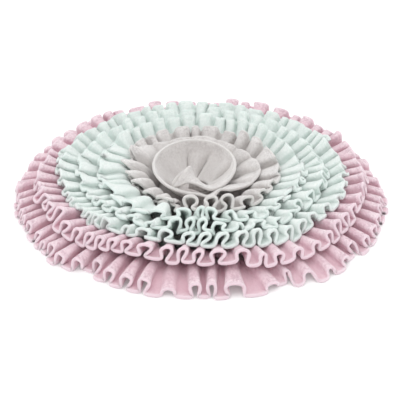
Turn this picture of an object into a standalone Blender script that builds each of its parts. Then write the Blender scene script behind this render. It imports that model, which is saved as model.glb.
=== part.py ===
"""Snuffle mat: gathered fleece strips sewn in rings on a round backing, with a rosette in the middle.

Seven pieces of ruffle lie over each other: two pink, three mint and one grey ring that lean
outwards, and a grey rosette that is one strip wound in a spiral.  Each strip is sewn down along
its inner edge, where it is drawn up small, and its free edge runs in deep folds.

The origin is the centre of the underside, where the mat stands, and +Z is up.  Angles are
measured from +X, anticlockwise seen from above.  Lengths in the tables are in millimetres.
"""

import math

import bpy
import numpy as np

MM = 0.001                    # one millimetre in Blender's metres

# ---- driving sizes -------------------------------------------------------------------------

BACKING_RADIUS = 152.0        # round of cloth that every strip is sewn to
BACKING_THICKNESS = 3.0
BACKING_SIDES = 72
CLOTH = 2.5                   # thickness of the fleece
SEAM_GAP = 0.4                # between the backing and a strip's sewn edge
SEAM_LIFT = BACKING_THICKNESS + CLOTH * 0.5 + SEAM_GAP
FLOOR_REST = CLOTH * 0.5 + 0.3    # middle of the cloth where a fold lies on the floor
REST_GAP = CLOTH + 1.0        # from the middle of one cloth to the middle of the next
MOST_LIFT = 12.0              # a strip is raised no more than this to lie on the one below
ROOT_SHARE = 0.12             # depth of a fold at the seam, as a share of its depth at the edge
NECK = 1.8                    # half of what a curled fold keeps open between its sides
STEEPEST = 2.2                # greatest depth of a fold over the way from its valley to its crest
CURL_MOST = 2.2               # what the sides of a wide fold close in at most
FAN_SPREAD = 0.38             # how far folds of one stretch differ in width at the free edge
CREST_SPREAD = 0.10           # how far a crest may stand from its place between two valleys
DEPTH_SPREAD = 0.16           # how far folds of one stretch differ in depth
ROSETTE_CENTRE = (-6.0, -4.0)

# The sheets are worked out finely and the solids take only some of their sections.
FINE_STEPS = 36               # fine sections to a fold
CURL_SHARE = 0.7              # the solids' folds curl and lean a little less than the cloth does,
LEAN_SHARE = 0.7              # which keeps their walls apart
FRONT = (170.0, 350.0)        # angles between which the folds hang loose and curl the most
FRONT_STEPS = 6               # sections of the solid to a fold there
BACK_STEPS = 4                # and to a fold elsewhere
MIDDLE = 6                    # the station across a strip where a solid has its middle points
ROSETTE_STEP = 1.0            # degrees between two fine sections of the rosette
ROSETTE_WIDE = 8              # fine sections from one section of its solid to the next
ROSETTE_CLOSE = 4             # the same among the last petals
ROSETTE_PETALS = 868.0        # angle where the last petals begin
ROSETTE_POINTS = [0, 4, 8, 13]    # stations across the rosette that its solid takes

# where the fine points lie across a strip, from the seam (0) to the free edge (1)
ACROSS = np.array([0.0, 0.05, 0.11, 0.18, 0.26, 0.35, 0.45, 0.55, 0.65, 0.75, 0.84, 0.91, 0.965, 1.0])

# ---- the rings of ruffle -------------------------------------------------------------------
# seed: which run of small irregularities the ring has
# root: radius of the seam; edge: mean radius of the free edge; height: mean height of that edge
# tilt: degrees from upright of the way the folds swing, crests towards the middle of the mat
# droop: how far the edge rolls down; middle: whether the solid has points halfway across the strip

RINGS = {
    #  name          seed  root   edge   height tilt  droop middle
    "pink_ruffle_1": (11, 150.5, 198.0,  8.0,  8.0,  0.0,  False),
    "pink_ruffle_2": (12, 138.5, 171.5, 27.0, 16.0,  1.5,  True),
    "mint_ruffle_1": (13, 121.0, 151.0, 29.5, 16.0,  1.5,  True),
    "mint_ruffle_2": (14, 100.0, 129.5, 29.5, 16.0,  1.5,  True),
    "mint_ruffle_3": (15,  79.0, 108.5, 30.0, 16.0,  1.5,  True),
    "grey_ruffle":   (16,  58.0,  86.0, 29.0, 16.0,  1.5,  True),
}

# One line for each stretch of a ring, up to where the next one starts.
# start: angle of its first valley; folds: folds in it; crest: where each crest stands between
# two valleys; wide: a valley's share of the fold; depth: crest to valley, at the free edge
# curl: how far a fold's sides close in, as a share of its width (over 0.08 they overhang)
# lean: sideways slant of the folds; lift and reach: the edge's height and radius against the mean
# arch: how far the cloth stands above the straight line from seam to edge

STRETCHES = {
    "pink_ruffle_1": [
        # start  folds crest wide  depth  curl  lean  lift  reach  arch
        (4.0,      6,  0.50,  0.50,  11.0, 0.12,  0.0,   0.5,  -1.0,  5.0),
        (44.0,     7,  0.50,  0.50,  11.0, 0.12,  0.0,   0.5,  -2.5,  5.0),
        (86.0,     3,  0.50,  0.50,   8.0, 0.10,  0.0,  -1.5,  -6.0,  5.0),
        (104.0,    6,  0.50,  0.50,  11.0, 0.12,  0.0,   0.5,  -3.0,  5.0),
        (140.0,    6,  0.50,  0.50,  11.0, 0.12,  0.0,   0.5,  -1.5,  5.0),
        (180.0,    4,  0.50,  0.55,  10.0, 0.10,  0.1,   0.0,   0.5,  5.0),
        (200.0,    4,  0.45,  0.55,  10.0, 0.10,  0.2,   0.0,   2.0,  5.0),
        (219.0,    1,  0.40,  0.60,  11.0, 0.10,  0.2,   0.0,   4.0,  4.0),
        (224.5,    1,  0.35,  0.60,  11.0, 0.10,  0.2,   0.0,   5.0,  4.0),
        (230.0,    4,  0.45,  0.60,  10.0, 0.10,  0.2,   0.0,   1.0,  4.0),
        (252.3,    1,  0.35,  0.65,  11.0, 0.12,  0.1,   0.0,   1.0,  4.0),
        (257.5,    1,  0.45,  0.55,   5.0, 0.04,  0.1,  -1.5,   3.0,  4.0),
        (266.0,    1,  0.58,  0.65,  12.0, 0.13,  0.0,   0.5,   1.0,  4.0),
        (271.0,    1,  0.58,  0.60,  12.0, 0.14,  0.0,   0.5,   0.0,  4.0),
        (275.0,    1,  0.40,  0.70,  11.5, 0.12,  0.0,   0.0,   3.0,  4.0),
        (285.5,    1,  0.55,  0.60,   6.0, 0.06,  0.0,  -1.5,   9.0,  4.0),
        (294.0,    1,  0.68,  0.62,  11.0, 0.12,  0.0,   0.0,   8.0,  4.0),
        (301.0,    1,  0.60,  0.55,  10.0, 0.12, -0.1,   0.0,   9.0,  4.0),
        (304.5,    1,  0.55,  0.60,   7.0, 0.06, -0.1,  -1.0,  10.0,  4.0),
        (310.4,    1,  0.60,  0.60,  10.0, 0.10, -0.1,  -0.5,  11.0,  4.0),
        (317.0,    1,  0.65,  0.60,  11.0, 0.13, -0.1,   0.0,   8.0,  4.0),
        (322.3,    1,  0.65,  0.60,  11.0, 0.13, -0.1,   0.0,   7.0,  4.0),
        (327.7,    1,  0.60,  0.55,  11.0, 0.12, -0.1,   0.0,   6.0,  4.0),
        (334.7,    3,  0.50,  0.55,  10.5, 0.12, -0.1,   0.0,   3.0,  4.0),
        (352.0,    2,  0.50,  0.50,  11.0, 0.12,  0.0,   0.5,   0.0,  5.0),
    ],
    "pink_ruffle_2": [
        (0.0,      5,  0.50,  0.45,  13.5, 0.14, -0.1,   0.0,   0.5,  6.0),
        (32.0,     7,  0.50,  0.42,  12.5, 0.16,  0.0,  -1.0,  -1.5,  6.0),
        (80.0,     4,  0.50,  0.42,  11.0, 0.16,  0.0,  -4.5,  -5.0,  4.0),
        (105.0,    3,  0.50,  0.42,  12.5, 0.16,  0.0,  -1.5,  -2.5,  6.0),
        (128.0,    6,  0.50,  0.42,  12.5, 0.16,  0.1,  -1.0,  -1.5,  6.0),
        (170.0,    2,  0.50,  0.45,  15.5, 0.17,  0.4,   0.0,   0.5,  6.0),
        (183.0,    6,  0.50,  0.48,  14.5, 0.17,  0.4,   0.0,   2.0,  6.0),
        (217.5,    1,  0.50,  0.60,  14.5, 0.16,  0.4,  -2.0,   5.0,  6.0),
        (224.0,    1,  0.50,  0.60,  15.0, 0.12,  0.2,  -2.0,   5.0,  3.0),
        (229.5,    1,  0.50,  0.58,  14.0, 0.14,  0.2,  -1.5,   3.0,  3.0),
        (233.8,    1,  0.50,  0.58,  14.0, 0.15,  0.2,  -1.0,   2.0,  3.0),
        (238.2,    1,  0.50,  0.58,  14.0, 0.15,  0.2,  -1.0,   0.0,  3.0),
        (242.5,    1,  0.50,  0.56,  15.0, 0.15,  0.2,  -0.5,  -3.5,  3.0),
        (248.0,    1,  0.50,  0.56,  15.0, 0.14,  0.2,   0.0,  -3.0,  3.0),
        (255.5,    1,  0.62,  0.62,  15.0, 0.12,  0.3,   0.0,  -3.0,  3.0),
        (262.0,    1,  0.50,  0.55,  16.0, 0.16,  0.3,   0.0,  -2.0,  3.0),
        (266.6,    1,  0.50,  0.56,  16.0, 0.15,  0.3,   0.0,  -1.0,  3.0),
        (271.7,    1,  0.50,  0.58,  16.0, 0.12,  0.2,   0.0,   0.0,  3.0),
        (279.1,    1,  0.50,  0.52,  16.0, 0.12,  0.2,   0.0,   2.0,  3.0),
        (287.2,    1,  0.50,  0.55,  14.0, 0.12,  0.4,  -3.0,   8.0,  3.0),
        (291.2,    1,  0.50,  0.56,  13.0, 0.12,  0.3,  -4.5,  10.0,  3.0),
        (297.0,    1,  0.50,  0.58,  13.0, 0.12,  0.3,  -5.0,  11.0,  3.0),
        (304.2,    1,  0.50,  0.60,  14.0, 0.12,  0.2,  -5.0,  11.0,  3.0),
        (311.2,    1,  0.60,  0.50,  16.0, 0.14,  0.1,  -4.0,   9.0,  3.0),
        (317.0,    1,  0.50,  0.50,  17.0, 0.16,  0.1,  -3.0,   7.0,  3.0),
        (322.2,    1,  0.50,  0.50,  16.0, 0.16,  0.0,  -2.0,   6.0,  3.0),
        (327.8,    1,  0.35,  0.55,  14.0, 0.12,  0.0,  -1.0,   6.0,  3.0),
        (336.0,    4,  0.50,  0.50,  12.0, 0.12, -0.1,   0.0,   3.0,  3.0),
    ],
    "mint_ruffle_1": [
        (0.0,      7,  0.50,  0.42,  12.5, 0.16, -0.1,   0.5,   1.5,  7.0),
        (40.0,     8,  0.50,  0.40,  12.5, 0.18,  0.0,   0.5,   0.0,  7.0),
        (86.0,     8,  0.50,  0.40,  12.5, 0.18,  0.0,   0.5,   0.0,  7.0),
        (132.0,    6,  0.50,  0.44,  11.5, 0.13,  0.1,   0.0,   0.5,  7.0),
        (170.0,    2,  0.50,  0.42,  14.5, 0.17,  0.4,   0.0,   1.0,  9.0),
        (184.0,    1,  0.50,  0.38,  13.5, 0.15,  0.5,   0.0,   0.0,  9.0),
        (192.0,    1,  0.50,  0.35,  13.5, 0.13,  0.5,   0.0,  -2.0,  9.0),
        (202.0,    1,  0.50,  0.50,   9.0, 0.15,  0.3,  -1.0,  -2.0,  8.0),
        (206.2,    1,  0.48,  0.50,   9.0, 0.12,  0.2,  -1.0,  -2.0,  8.0),
        (210.6,    1,  0.50,  0.52,   7.0, 0.05,  0.1,  -1.0,  -2.0,  8.0),
        (215.4,    1,  0.50,  0.52,   8.5, 0.10,  0.1,  -1.0,  -2.0,  7.0),
        (219.8,    1,  0.48,  0.50,  10.0, 0.15,  0.3,  -1.0,  -2.0,  6.0),
        (224.0,    1,  0.50,  0.55,  14.0, 0.14,  0.2,  -1.0,  -1.0,  3.0),
        (228.3,    1,  0.20,  0.72,  15.0, 0.12,  0.1,  -1.5,  -2.0,  3.0),
        (237.2,    1,  0.62,  0.75,  14.0, 0.10,  0.1,  -1.5,  -4.0,  3.0),
        (243.0,    1,  0.45,  0.50,  13.0, 0.13,  0.1,  -1.0,  -6.0,  3.0),
        (252.5,    1,  0.45,  0.64,  15.0, 0.13,  0.1,  -0.5,  -4.0,  3.0),
        (261.5,    1,  0.70,  0.62,  16.0, 0.14,  0.2,   0.0,  -2.0,  3.0),
        (268.0,    1,  0.52,  0.52,  16.0, 0.13,  0.5,   0.0,   1.0,  3.0),
        (274.0,    1,  0.50,  0.52,  16.0, 0.13,  0.5,   0.0,   2.5,  3.0),
        (280.7,    1,  0.58,  0.52,  16.0, 0.12,  0.3,   0.0,   4.0,  3.0),
        (287.8,    1,  0.50,  0.52,  15.0, 0.14,  0.2,   0.0,   4.0,  3.0),
        (293.0,    1,  0.50,  0.54,  14.0, 0.13,  0.2,  -1.0,   6.0,  3.0),
        (299.3,    1,  0.60,  0.54,  14.0, 0.13,  0.2,  -1.5,   8.0,  3.0),
        (305.3,    1,  0.40,  0.50,  15.0, 0.14,  0.2,  -1.0,   8.0,  3.0),
        (312.5,    1,  0.35,  0.55,  16.0, 0.14,  0.0,   0.0,   5.0,  3.0),
        (320.5,    1,  0.30,  0.62,  15.0, 0.12,  0.0,   0.0,   5.0,  3.0),
        (330.0,    1,  0.50,  0.55,  14.0, 0.14,  0.0,   0.0,   6.0,  3.0),
        (337.0,    4,  0.50,  0.46,  12.5, 0.14, -0.1,   0.5,   4.0,  7.0),
    ],
    "mint_ruffle_2": [
        (0.0,      7,  0.50,  0.40,  12.5, 0.16, -0.1,   0.5,   0.5,  7.0),
        (45.0,     7,  0.50,  0.38,  12.5, 0.18,  0.0,   0.5,   0.0,  7.0),
        (92.0,     5,  0.50,  0.38,  12.5, 0.16,  0.0,   0.5,   0.0,  7.0),
        (134.0,    4,  0.50,  0.38,  12.5, 0.14,  0.1,   0.0,   0.5,  7.0),
        (163.0,    1,  0.50,  0.38,  13.0, 0.12,  0.3,   0.0,   1.0,  8.0),
        (173.5,    1,  0.50,  0.38,  13.0, 0.10,  0.3,   0.0,   0.5,  8.0),
        (188.5,    1,  0.45,  0.38,  13.0, 0.12,  0.3,   0.0,   0.0,  8.0),
        (203.0,    1,  0.50,  0.50,   7.5, 0.06,  0.1,  -1.0,   0.0,  8.0),
        (209.6,    1,  0.50,  0.50,   8.0, 0.08,  0.1,  -1.0,   0.0,  8.0),
        (216.0,    1,  0.45,  0.60,  13.5, 0.13,  0.3,  -1.0,  -1.0,  8.0),
        (225.0,    1,  0.50,  0.55,  12.0, 0.12,  0.2,  -1.0,  -1.0,  5.0),
        (234.0,    1,  0.45,  0.52,  14.0, 0.13,  0.1,  -1.0,   0.0,  5.0),
        (243.5,    1,  0.55,  0.62,  12.0, 0.12,  0.1,  -1.0,   0.0,  5.0),
        (252.0,    1,  0.75,  0.66,  14.0, 0.12,  0.2,   0.0,  -2.0,  5.0),
        (262.5,    1,  0.60,  0.48,  16.0, 0.17,  0.1,   0.5,  -4.0,  3.0),
        (267.8,    1,  0.55,  0.55,  14.0, 0.15,  0.2,   0.0,  -3.0,  3.0),
        (273.5,    1,  0.35,  0.60,  13.0, 0.13,  0.2,   0.0,   3.0,  3.0),
        (283.5,    1,  0.50,  0.50,  10.5, 0.06,  0.1,   0.0,   7.0,  3.0),
        (289.5,    1,  0.40,  0.58,  12.0, 0.10,  0.2,   0.0,   9.0,  3.0),
        (299.6,    1,  0.40,  0.60,  13.0, 0.12,  0.2,  -0.5,  12.0,  3.0),
        (307.5,    1,  0.40,  0.58,  13.0, 0.12,  0.1,   0.0,  10.0,  3.0),
        (316.0,    6,  0.50,  0.48,  13.0, 0.14,  0.0,   0.0,   3.0,  3.0),
    ],
    "mint_ruffle_3": [
        (0.0,      5,  0.50,  0.40,  12.5, 0.16, -0.1,   0.0,   0.0,  7.0),
        (45.0,     6,  0.50,  0.38,  12.5, 0.18,  0.0,   0.5,   0.0,  7.0),
        (92.0,     5,  0.50,  0.38,  12.5, 0.16,  0.0,   0.5,   0.0,  7.0),
        (135.0,    1,  0.50,  0.38,  12.5, 0.14,  0.1,   0.0,   1.0,  7.0),
        (150.0,    2,  0.50,  0.36,  11.5, 0.14,  0.2,   0.0,   1.0,  7.0),
        (172.0,    1,  0.50,  0.36,  13.0, 0.12,  0.4,   0.0,   0.0,  8.0),
        (190.0,    1,  0.50,  0.50,   5.0, 0.05,  0.2,  -1.5,  -0.5,  8.0),
        (195.0,    1,  0.50,  0.50,   5.5, 0.05,  0.2,  -1.5,  -0.5,  8.0),
        (200.0,    1,  0.45,  0.38,  13.5, 0.12,  0.3,  -0.5,   0.0,  8.0),
        (220.0,    1,  0.55,  0.60,  13.0, 0.10,  0.1,  -1.0,   1.0,  8.0),
        (236.0,    1,  0.60,  0.62,  13.0, 0.12,  0.2,  -0.5,   2.0,  7.0),
        (255.0,    1,  0.55,  0.45,  16.0, 0.13,  0.0,   0.5,   0.0,  7.0),
        (267.0,    1,  0.60,  0.58,  12.0, 0.13,  0.1,   1.0, -10.0,  3.0),
        (272.8,    1,  0.25,  0.62,  16.0, 0.14,  0.0,   1.0,  -7.0,  3.0),
        (281.9,    1,  0.70,  0.66,  13.0, 0.13,  0.0,   0.5,   0.0,  3.0),
        (289.0,    1,  0.55,  0.58,  13.0, 0.12,  0.1,   0.0,  10.0,  3.0),
        (300.0,    1,  0.55,  0.58,  12.0, 0.12,  0.1,   0.0,  12.0,  3.0),
        (309.5,    1,  0.50,  0.52,  12.0, 0.13,  0.1,   0.0,   6.0,  3.0),
        (320.0,    5,  0.50,  0.46,  13.0, 0.14,  0.0,   0.0,   2.0,  3.0),
    ],
    "grey_ruffle": [
        (6.0,      2,  0.50,  0.36,  11.0, 0.12, -0.2,   0.0,  -2.0,  6.0),
        (33.0,     5,  0.50,  0.34,  11.0, 0.16, -0.1,   0.5,  -3.0,  6.0),
        (90.0,     5,  0.50,  0.38,  10.5, 0.13,  0.1,   0.5,  -2.0,  6.0),
        (150.0,    1,  0.50,  0.34,  10.0, 0.12,  0.2,   0.0,  -1.0,  5.0),
        (164.0,    1,  0.50,  0.50,   6.0, 0.08,  0.1,  -8.0, -10.0,  3.0),
        (180.0,    4,  0.50,  0.50,   5.0, 0.06,  0.1, -12.0, -14.0,  1.0),
        (240.0,    1,  0.60,  0.50,   8.0, 0.08,  0.1,  -9.0, -10.0,  2.0),
        (255.0,    1,  0.55,  0.50,  15.0, 0.12,  0.0,   1.0,  -6.0,  3.0),
        (270.5,    1,  0.60,  0.50,  15.0, 0.15,  0.2,   0.5,  -1.0,  3.0),
        (283.0,    1,  0.55,  0.50,  15.0, 0.17,  0.1,   1.0,   0.0,  3.0),
        (294.5,    1,  0.45,  0.55,  13.0, 0.12,  0.1,   0.0,   4.0,  3.0),
        (311.0,    1,  0.50,  0.50,  12.0, 0.13,  0.0,   0.0,   2.0,  3.0),
        (324.0,    1,  0.50,  0.42,  12.0, 0.13,  0.0,   0.0,   0.0,  3.0),
        (338.0,    2,  0.50,  0.38,  11.0, 0.12, -0.1,   0.0,  -1.0,  3.0),
    ],
}

# ---- the rosette ---------------------------------------------------------------------------
# One strip wound a little under twice round: a bud, the cup, then a ring of petals.
# turn: angle along the winding; rim and height: where the free edge runs, from the rosette's
# centre; root and seam: radius and height of its sewn edge; bend_r and bend_z: the point that
# the cloth bends towards between the two

ROSETTE = [
    # turn    rim  height  root  seam  bend_r bend_z
    (219.0,  30.5,  17.5,   7.5,  7.0,   5.0,  50.0),
    (228.0,  30.5,  19.5,   7.0,  7.0,   3.5,  53.0),
    (240.0,  28.5,  23.5,   6.5,  7.0,   2.5,  54.0),
    (253.0,  24.5,  27.0,   6.5,  7.0,   3.0,  47.0),
    (266.0,  24.0,  27.5,   7.0,  7.0,   4.0,  38.0),
    (281.0,  29.5,  24.5,   8.5,  7.0,   7.0,  28.0),
    (299.0,  37.0,  21.5,  11.0,  6.0,  13.0,  21.0),
    (319.0,  40.5,  24.0,  13.0,  5.0,  20.0,  17.0),
    (343.0,  42.5,  29.0,  14.5,  4.7,  27.0,  15.0),
    (363.0,  43.5,  32.0,  15.5,  4.7,  32.0,  13.0),
    (390.0,  45.0,  35.0,  16.0,  4.7,  36.0,  13.0),
    (432.0,  47.0,  38.0,  16.5,  4.7,  39.0,  13.0),
    (468.0,  45.5,  39.0,  17.0,  4.7,  39.0,  13.0),
    (500.0,  44.0,  37.5,  17.5,  4.7,  38.0,  13.0),
    (544.0,  43.5,  33.0,  18.0,  4.7,  34.0,  14.0),
    (584.0,  44.5,  28.5,  19.0,  4.7,  31.0,  11.0),
    (615.0,  46.5,  26.0,  21.0,  4.7,  31.0,  10.0),
    (636.0,  47.0,  24.0,  23.0,  4.7,  31.0,  12.0),
    (652.0,  50.5,  21.5,  25.0,  4.7,  33.0,  14.0),
    (664.0,  48.0,  25.5,  26.5,  4.7,  33.0,  15.0),
    (676.0,  53.5,  24.0,  28.0,  4.7,  33.0,  22.0),
    (697.0,  63.5,  24.5,  31.0,  4.7,  38.0,  24.0),
    (715.0,  69.0,  27.0,  34.0,  4.7,  43.0,  24.0),
    (735.0,  68.5,  29.5,  36.0,  4.7,  46.0,  25.0),
    (754.0,  64.0,  31.0,  37.0,  4.7,  48.0,  25.0),
    (776.0,  66.5,  29.0,  38.0,  4.7,  50.0,  25.0),
    (800.0,  67.0,  32.0,  38.5,  4.7,  50.0,  27.0),
    (826.0,  64.5,  31.5,  39.0,  4.7,  50.0,  27.0),
    (840.0,  66.0,  30.0,  39.5,  4.7,  50.0,  26.0),
    (856.0,  70.5,  32.0,  40.0,  4.7,  50.0,  29.0),
    (872.0,  73.0,  31.5,  40.0,  4.7,  49.0,  30.0),
    (881.0,  71.5,  28.5,  40.5,  4.7,  48.0,  27.0),
    (891.0,  75.0,  29.0,  40.5,  4.7,  48.0,  29.0),
    (901.0,  69.5,  23.5,  41.0,  4.7,  48.0,  24.0),
    (908.0,  71.5,  27.0,  41.0,  4.7,  48.0,  28.0),
    (915.0,  66.5,  21.5,  41.5,  4.7,  48.0,  22.0),
    (922.0,  69.5,  26.0,  41.5,  4.7,  48.0,  27.0),
    (931.0,  64.5,  20.0,  42.0,  4.7,  48.0,  21.0),
    (942.0,  69.0,  25.0,  42.5,  4.7,  48.0,  26.0),
    (950.0,  66.0,  19.5,  43.0,  4.7,  49.0,  20.0),
    (957.0,  71.5,  24.0,  43.0,  4.7,  49.0,  25.0),
    (963.0,  68.5,  19.5,  43.5,  4.7,  50.0,  20.0),
    (968.0,  71.5,  22.0,  43.5,  4.7,  50.0,  22.0),
    (972.0,  70.0,  20.0,  43.5,  4.7,  50.0,  19.0),
]

# Soft troughs pressed into the rosette, or ridges where the depth is below zero.
# turn and reach: middle and half width in degrees; depth; inner and outer: where it starts and
# dies out across the strip

CREASES = [
    # turn  reach depth inner outer
    (420.0,  4.5,  4.0,  0.00, 0.85),
    (440.0,  9.0, -2.5,  0.10, 0.80),
    (459.0,  4.0,  4.0,  0.00, 0.80),
    (485.0, 11.0, -1.6,  0.10, 0.80),
    (360.0,  5.0,  3.0,  0.00, 0.90),
    (338.0,  9.0, -1.8,  0.20, 0.90),
    (385.0,  9.0, -1.8,  0.20, 0.90),
    (563.0,  8.0,  2.0,  0.00, 0.70),
    (709.0,  3.5,  3.0,  0.10, 1.10),
    (726.0,  3.5,  3.0,  0.10, 1.10),
    (744.0,  4.0,  2.6,  0.10, 1.10),
    (766.0,  4.0,  2.6,  0.10, 1.10),
    (788.0,  4.0,  2.6,  0.10, 1.10),
    (812.0,  4.0,  2.6,  0.10, 1.10),
    (834.0,  4.0,  2.6,  0.10, 1.10),
    (881.5,  2.2,  5.0,  0.05, 1.30),
    (900.5,  2.6,  4.5,  0.05, 1.30),
    (915.5,  2.6,  4.5,  0.05, 1.30),
    (932.0,  2.8,  4.5,  0.05, 1.30),
    (949.5,  2.6,  4.5,  0.05, 1.30),
    (964.0,  2.6,  4.5,  0.05, 1.30),
]

# ---- colours and surface -------------------------------------------------------------------

PINK = (0.72, 0.52, 0.57)
MINT = (0.66, 0.77, 0.73)
GREY = (0.60, 0.58, 0.57)
FLEECE_ROUGHNESS = 0.95


def fleece(name, colour):
    """A matt cloth material in one colour."""
    material = bpy.data.materials.new(name)
    material.use_nodes = True
    shader = material.node_tree.nodes["Principled BSDF"]
    shader.inputs["Base Color"].default_value = (*colour, 1.0)
    shader.inputs["Roughness"].default_value = FLEECE_ROUGHNESS
    shader.inputs["Metallic"].default_value = 0.0
    return material


# ---- shapes of the folds -------------------------------------------------------------------

def soften(values, reach, closed):
    """Average along the strip with a bell of the given reach in sections."""
    offsets = np.arange(-2 * reach, 2 * reach + 1)
    weights = np.exp(-0.5 * (offsets / reach) ** 2)
    weights = weights / weights.sum()
    mode = "wrap" if closed else "edge"
    padded = np.pad(values, ((2 * reach, 2 * reach), (0, 0)), mode=mode)
    return sum(w * padded[k:k + len(values)] for k, w in enumerate(weights))


def lobes(name):
    """The folds of one ring as columns with two entries to a fold: its valley, then its crest.

    Folds of one stretch differ in width and depth; a fold that has a stretch of its own keeps
    the table's values.  No fold is deeper than STEEPEST times half its width.  At the seam the
    folds stand almost evenly.
    """
    rng = np.random.default_rng(RINGS[name][0])
    rows = np.array(STRETCHES[name])
    folds = rows[:, 1].astype(int)
    row = np.repeat(np.arange(len(rows)), folds)
    loose = np.where(folds[row] > 1, 1.0, 0.0)
    spans = np.diff(np.append(rows[:, 0], rows[0, 0] + 360.0))
    width = 1.0 + loose * FAN_SPREAD * rng.uniform(-1.0, 1.0, len(row))
    width = width * (spans / np.add.reduceat(width, np.cumsum(folds) - folds))[row]
    valley = rows[0, 0] + np.cumsum(width) - width
    crest = valley + width * (rows[row, 2] + loose * CREST_SPREAD * rng.uniform(-1.0, 1.0, len(row)))
    pair = np.repeat(rows[row], 2, axis=0)
    uneven = rng.uniform(-1.0, 1.0, (6, len(pair)))
    loose = np.repeat(loose, 2)
    side = np.where(np.arange(len(pair)) % 2 == 0, -0.5, 0.5)
    centre = np.stack((valley, crest), axis=1).ravel()
    room = np.diff(np.append(centre, centre[0] + 360.0)) * np.pi / 180.0 * RINGS[name][2]
    room = np.minimum(room, np.roll(room, 1))
    even = centre[0] + np.arange(len(centre)) * 360.0 / len(centre)
    return {
        "edge": centre,
        "seam": even + soften((centre - even)[:, None], 3, True)[:, 0],
        "wide": pair[:, 3],
        "level": side * np.minimum(pair[:, 4] * (1.0 + (0.3 + 0.7 * loose) * DEPTH_SPREAD * uneven[0]),
                                   STEEPEST * room),
        "curl": CURL_SHARE * pair[:, 5] * (1.0 + 0.12 * uneven[1]),
        "lean": LEAN_SHARE * (pair[:, 6] + 0.12 * uneven[2]),
        "lift": pair[:, 7] + (0.4 + 1.4 * loose) * uneven[3],
        "reach": pair[:, 8] + 1.5 * loose * uneven[5],
        "arch": pair[:, 9],
        "wander": soften(uneven[4][:, None], 2, True)[:, 0],
    }


def lean_towards(part, lobe, wide):
    """Shift the way between two lobes, so that valleys take the share `wide` and crests the rest."""
    swell = (2.0 * wide[lobe] - 1.0) * np.where(lobe % 2 == 0, 1.0, -1.0)
    return part + swell * part * (1.0 - part)


def blend(values, phase, wide=None):
    """Value along a closed ring: one value for each lobe, joined by half cosines.

    With `wide` the narrower lobes are also the sharper ones, and the broad ones flat.
    """
    lobe = np.floor(phase).astype(int)
    part = (1.0 - np.cos(np.pi * (phase - lobe))) * 0.5
    if wide is not None:
        part = lean_towards(part, lobe, 1.0 - wide)
    return values[lobe] + (np.roll(values, -1)[lobe] - values[lobe]) * part


def turn_at(centre, wide, phase):
    """Angle along a ring, from the angles of its lobes."""
    lobe = np.floor(phase).astype(int)
    ends = np.append(centre, centre[0] + 360.0)
    return ends[lobe] + (ends[lobe + 1] - ends[lobe]) * lean_towards(phase - lobe, lobe, wide)


def ring_sheet(name):
    """Middle surface of one ring, sections by points across the strip.

    The seam and the mean free edge are two circles.  Along the ring the cloth swings to and fro
    across the line between them as a half cosine from lobe to lobe, and sideways by
    curl * width * sin(2 * angle of the fold), so that deep folds close in on themselves, yet
    never so far that the two sides of a fold touch.
    Both swings grow from the seam to the free edge.  Between seam and edge the cloth arches
    up by a parabola, its last part rolls down by a square, small gathers die away from the
    seam, and each fold wanders a little to one side.
    """
    seed, root, edge, height, tilt, droop, middle = RINGS[name]
    lobe = lobes(name)
    phase = np.arange(len(lobe["edge"]) * FINE_STEPS // 2) * 2.0 / FINE_STEPS
    at_seam = turn_at(lobe["seam"], lobe["wide"] * 0.0 + 0.5, phase)[:, None]
    at_edge = turn_at(lobe["edge"], lobe["wide"], phase)[:, None]
    index = np.floor(phase).astype(int)
    span = np.diff(np.append(lobe["edge"], lobe["edge"][0] + 360.0)) * 2.0 * np.pi / 180.0 * edge
    t = ACROSS[None, :]
    swing = blend(lobe["level"], phase, lobe["wide"])[:, None]
    room = np.clip(0.36 * span - NECK, 0.0, CURL_MOST)
    side = np.minimum(lobe["curl"] * span, room)[index] * np.sin(2.0 * np.pi * phase)
    side = side[:, None] + blend(lobe["lean"], phase)[:, None] * swing
    wander = blend(lobe["wander"], phase)[:, None]
    drift = wander * 5.0 * np.sin(np.pi * t)
    growth = ROOT_SHARE + (1.0 - ROOT_SHARE) * t
    run = (edge + blend(lobe["reach"], phase) - root)[:, None]
    rise = (height + blend(lobe["lift"], phase) - SEAM_LIFT)[:, None]
    slope = np.arctan2(rise, run)
    gather = np.clip(1.0 - t / 0.4, 0.0, 1.0) ** 2
    arch = blend(lobe["arch"], phase)[:, None] * 4.0 * t * (1.0 - t)
    arch = arch + 1.1 * gather * np.sin(4.0 * np.pi * phase[:, None] + 3.0 * wander)
    tilt = math.radians(tilt)
    radius = root + run * t - np.sin(slope) * arch - math.sin(tilt) * swing * growth
    z = SEAM_LIFT + rise * t + np.cos(slope) * arch + math.cos(tilt) * swing * growth
    z = z - droop * np.clip((t - 0.6) / 0.4, 0.0, 1.0) ** 2
    lowest = np.where(radius > BACKING_RADIUS, FLOOR_REST, SEAM_LIFT)
    z = np.maximum(z, lowest)
    turn = np.radians(at_seam + (at_edge - at_seam) * t) + (side * growth * t + drift) / radius
    return np.stack((radius * np.cos(turn), radius * np.sin(turn), z), axis=2)


# ---- resting on the ring below -------------------------------------------------------------

MAP_TURNS = 2400              # cells of the height map round the mat
MAP_RADIUS = 220              # and outwards, 1 mm each
MAP_FINE = 64                 # points across a strip when it is drawn into the map


def polar_cells(sheet):
    """Cells of the height map that the sheet's points fall in."""
    angle = np.arctan2(sheet[..., 1], sheet[..., 0]) / (2.0 * np.pi) % 1.0
    radius = np.hypot(sheet[..., 0], sheet[..., 1])
    turn_cell = (angle * MAP_TURNS).astype(int) % MAP_TURNS
    return turn_cell, np.clip(radius.astype(int), 0, MAP_RADIUS - 1)


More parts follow.
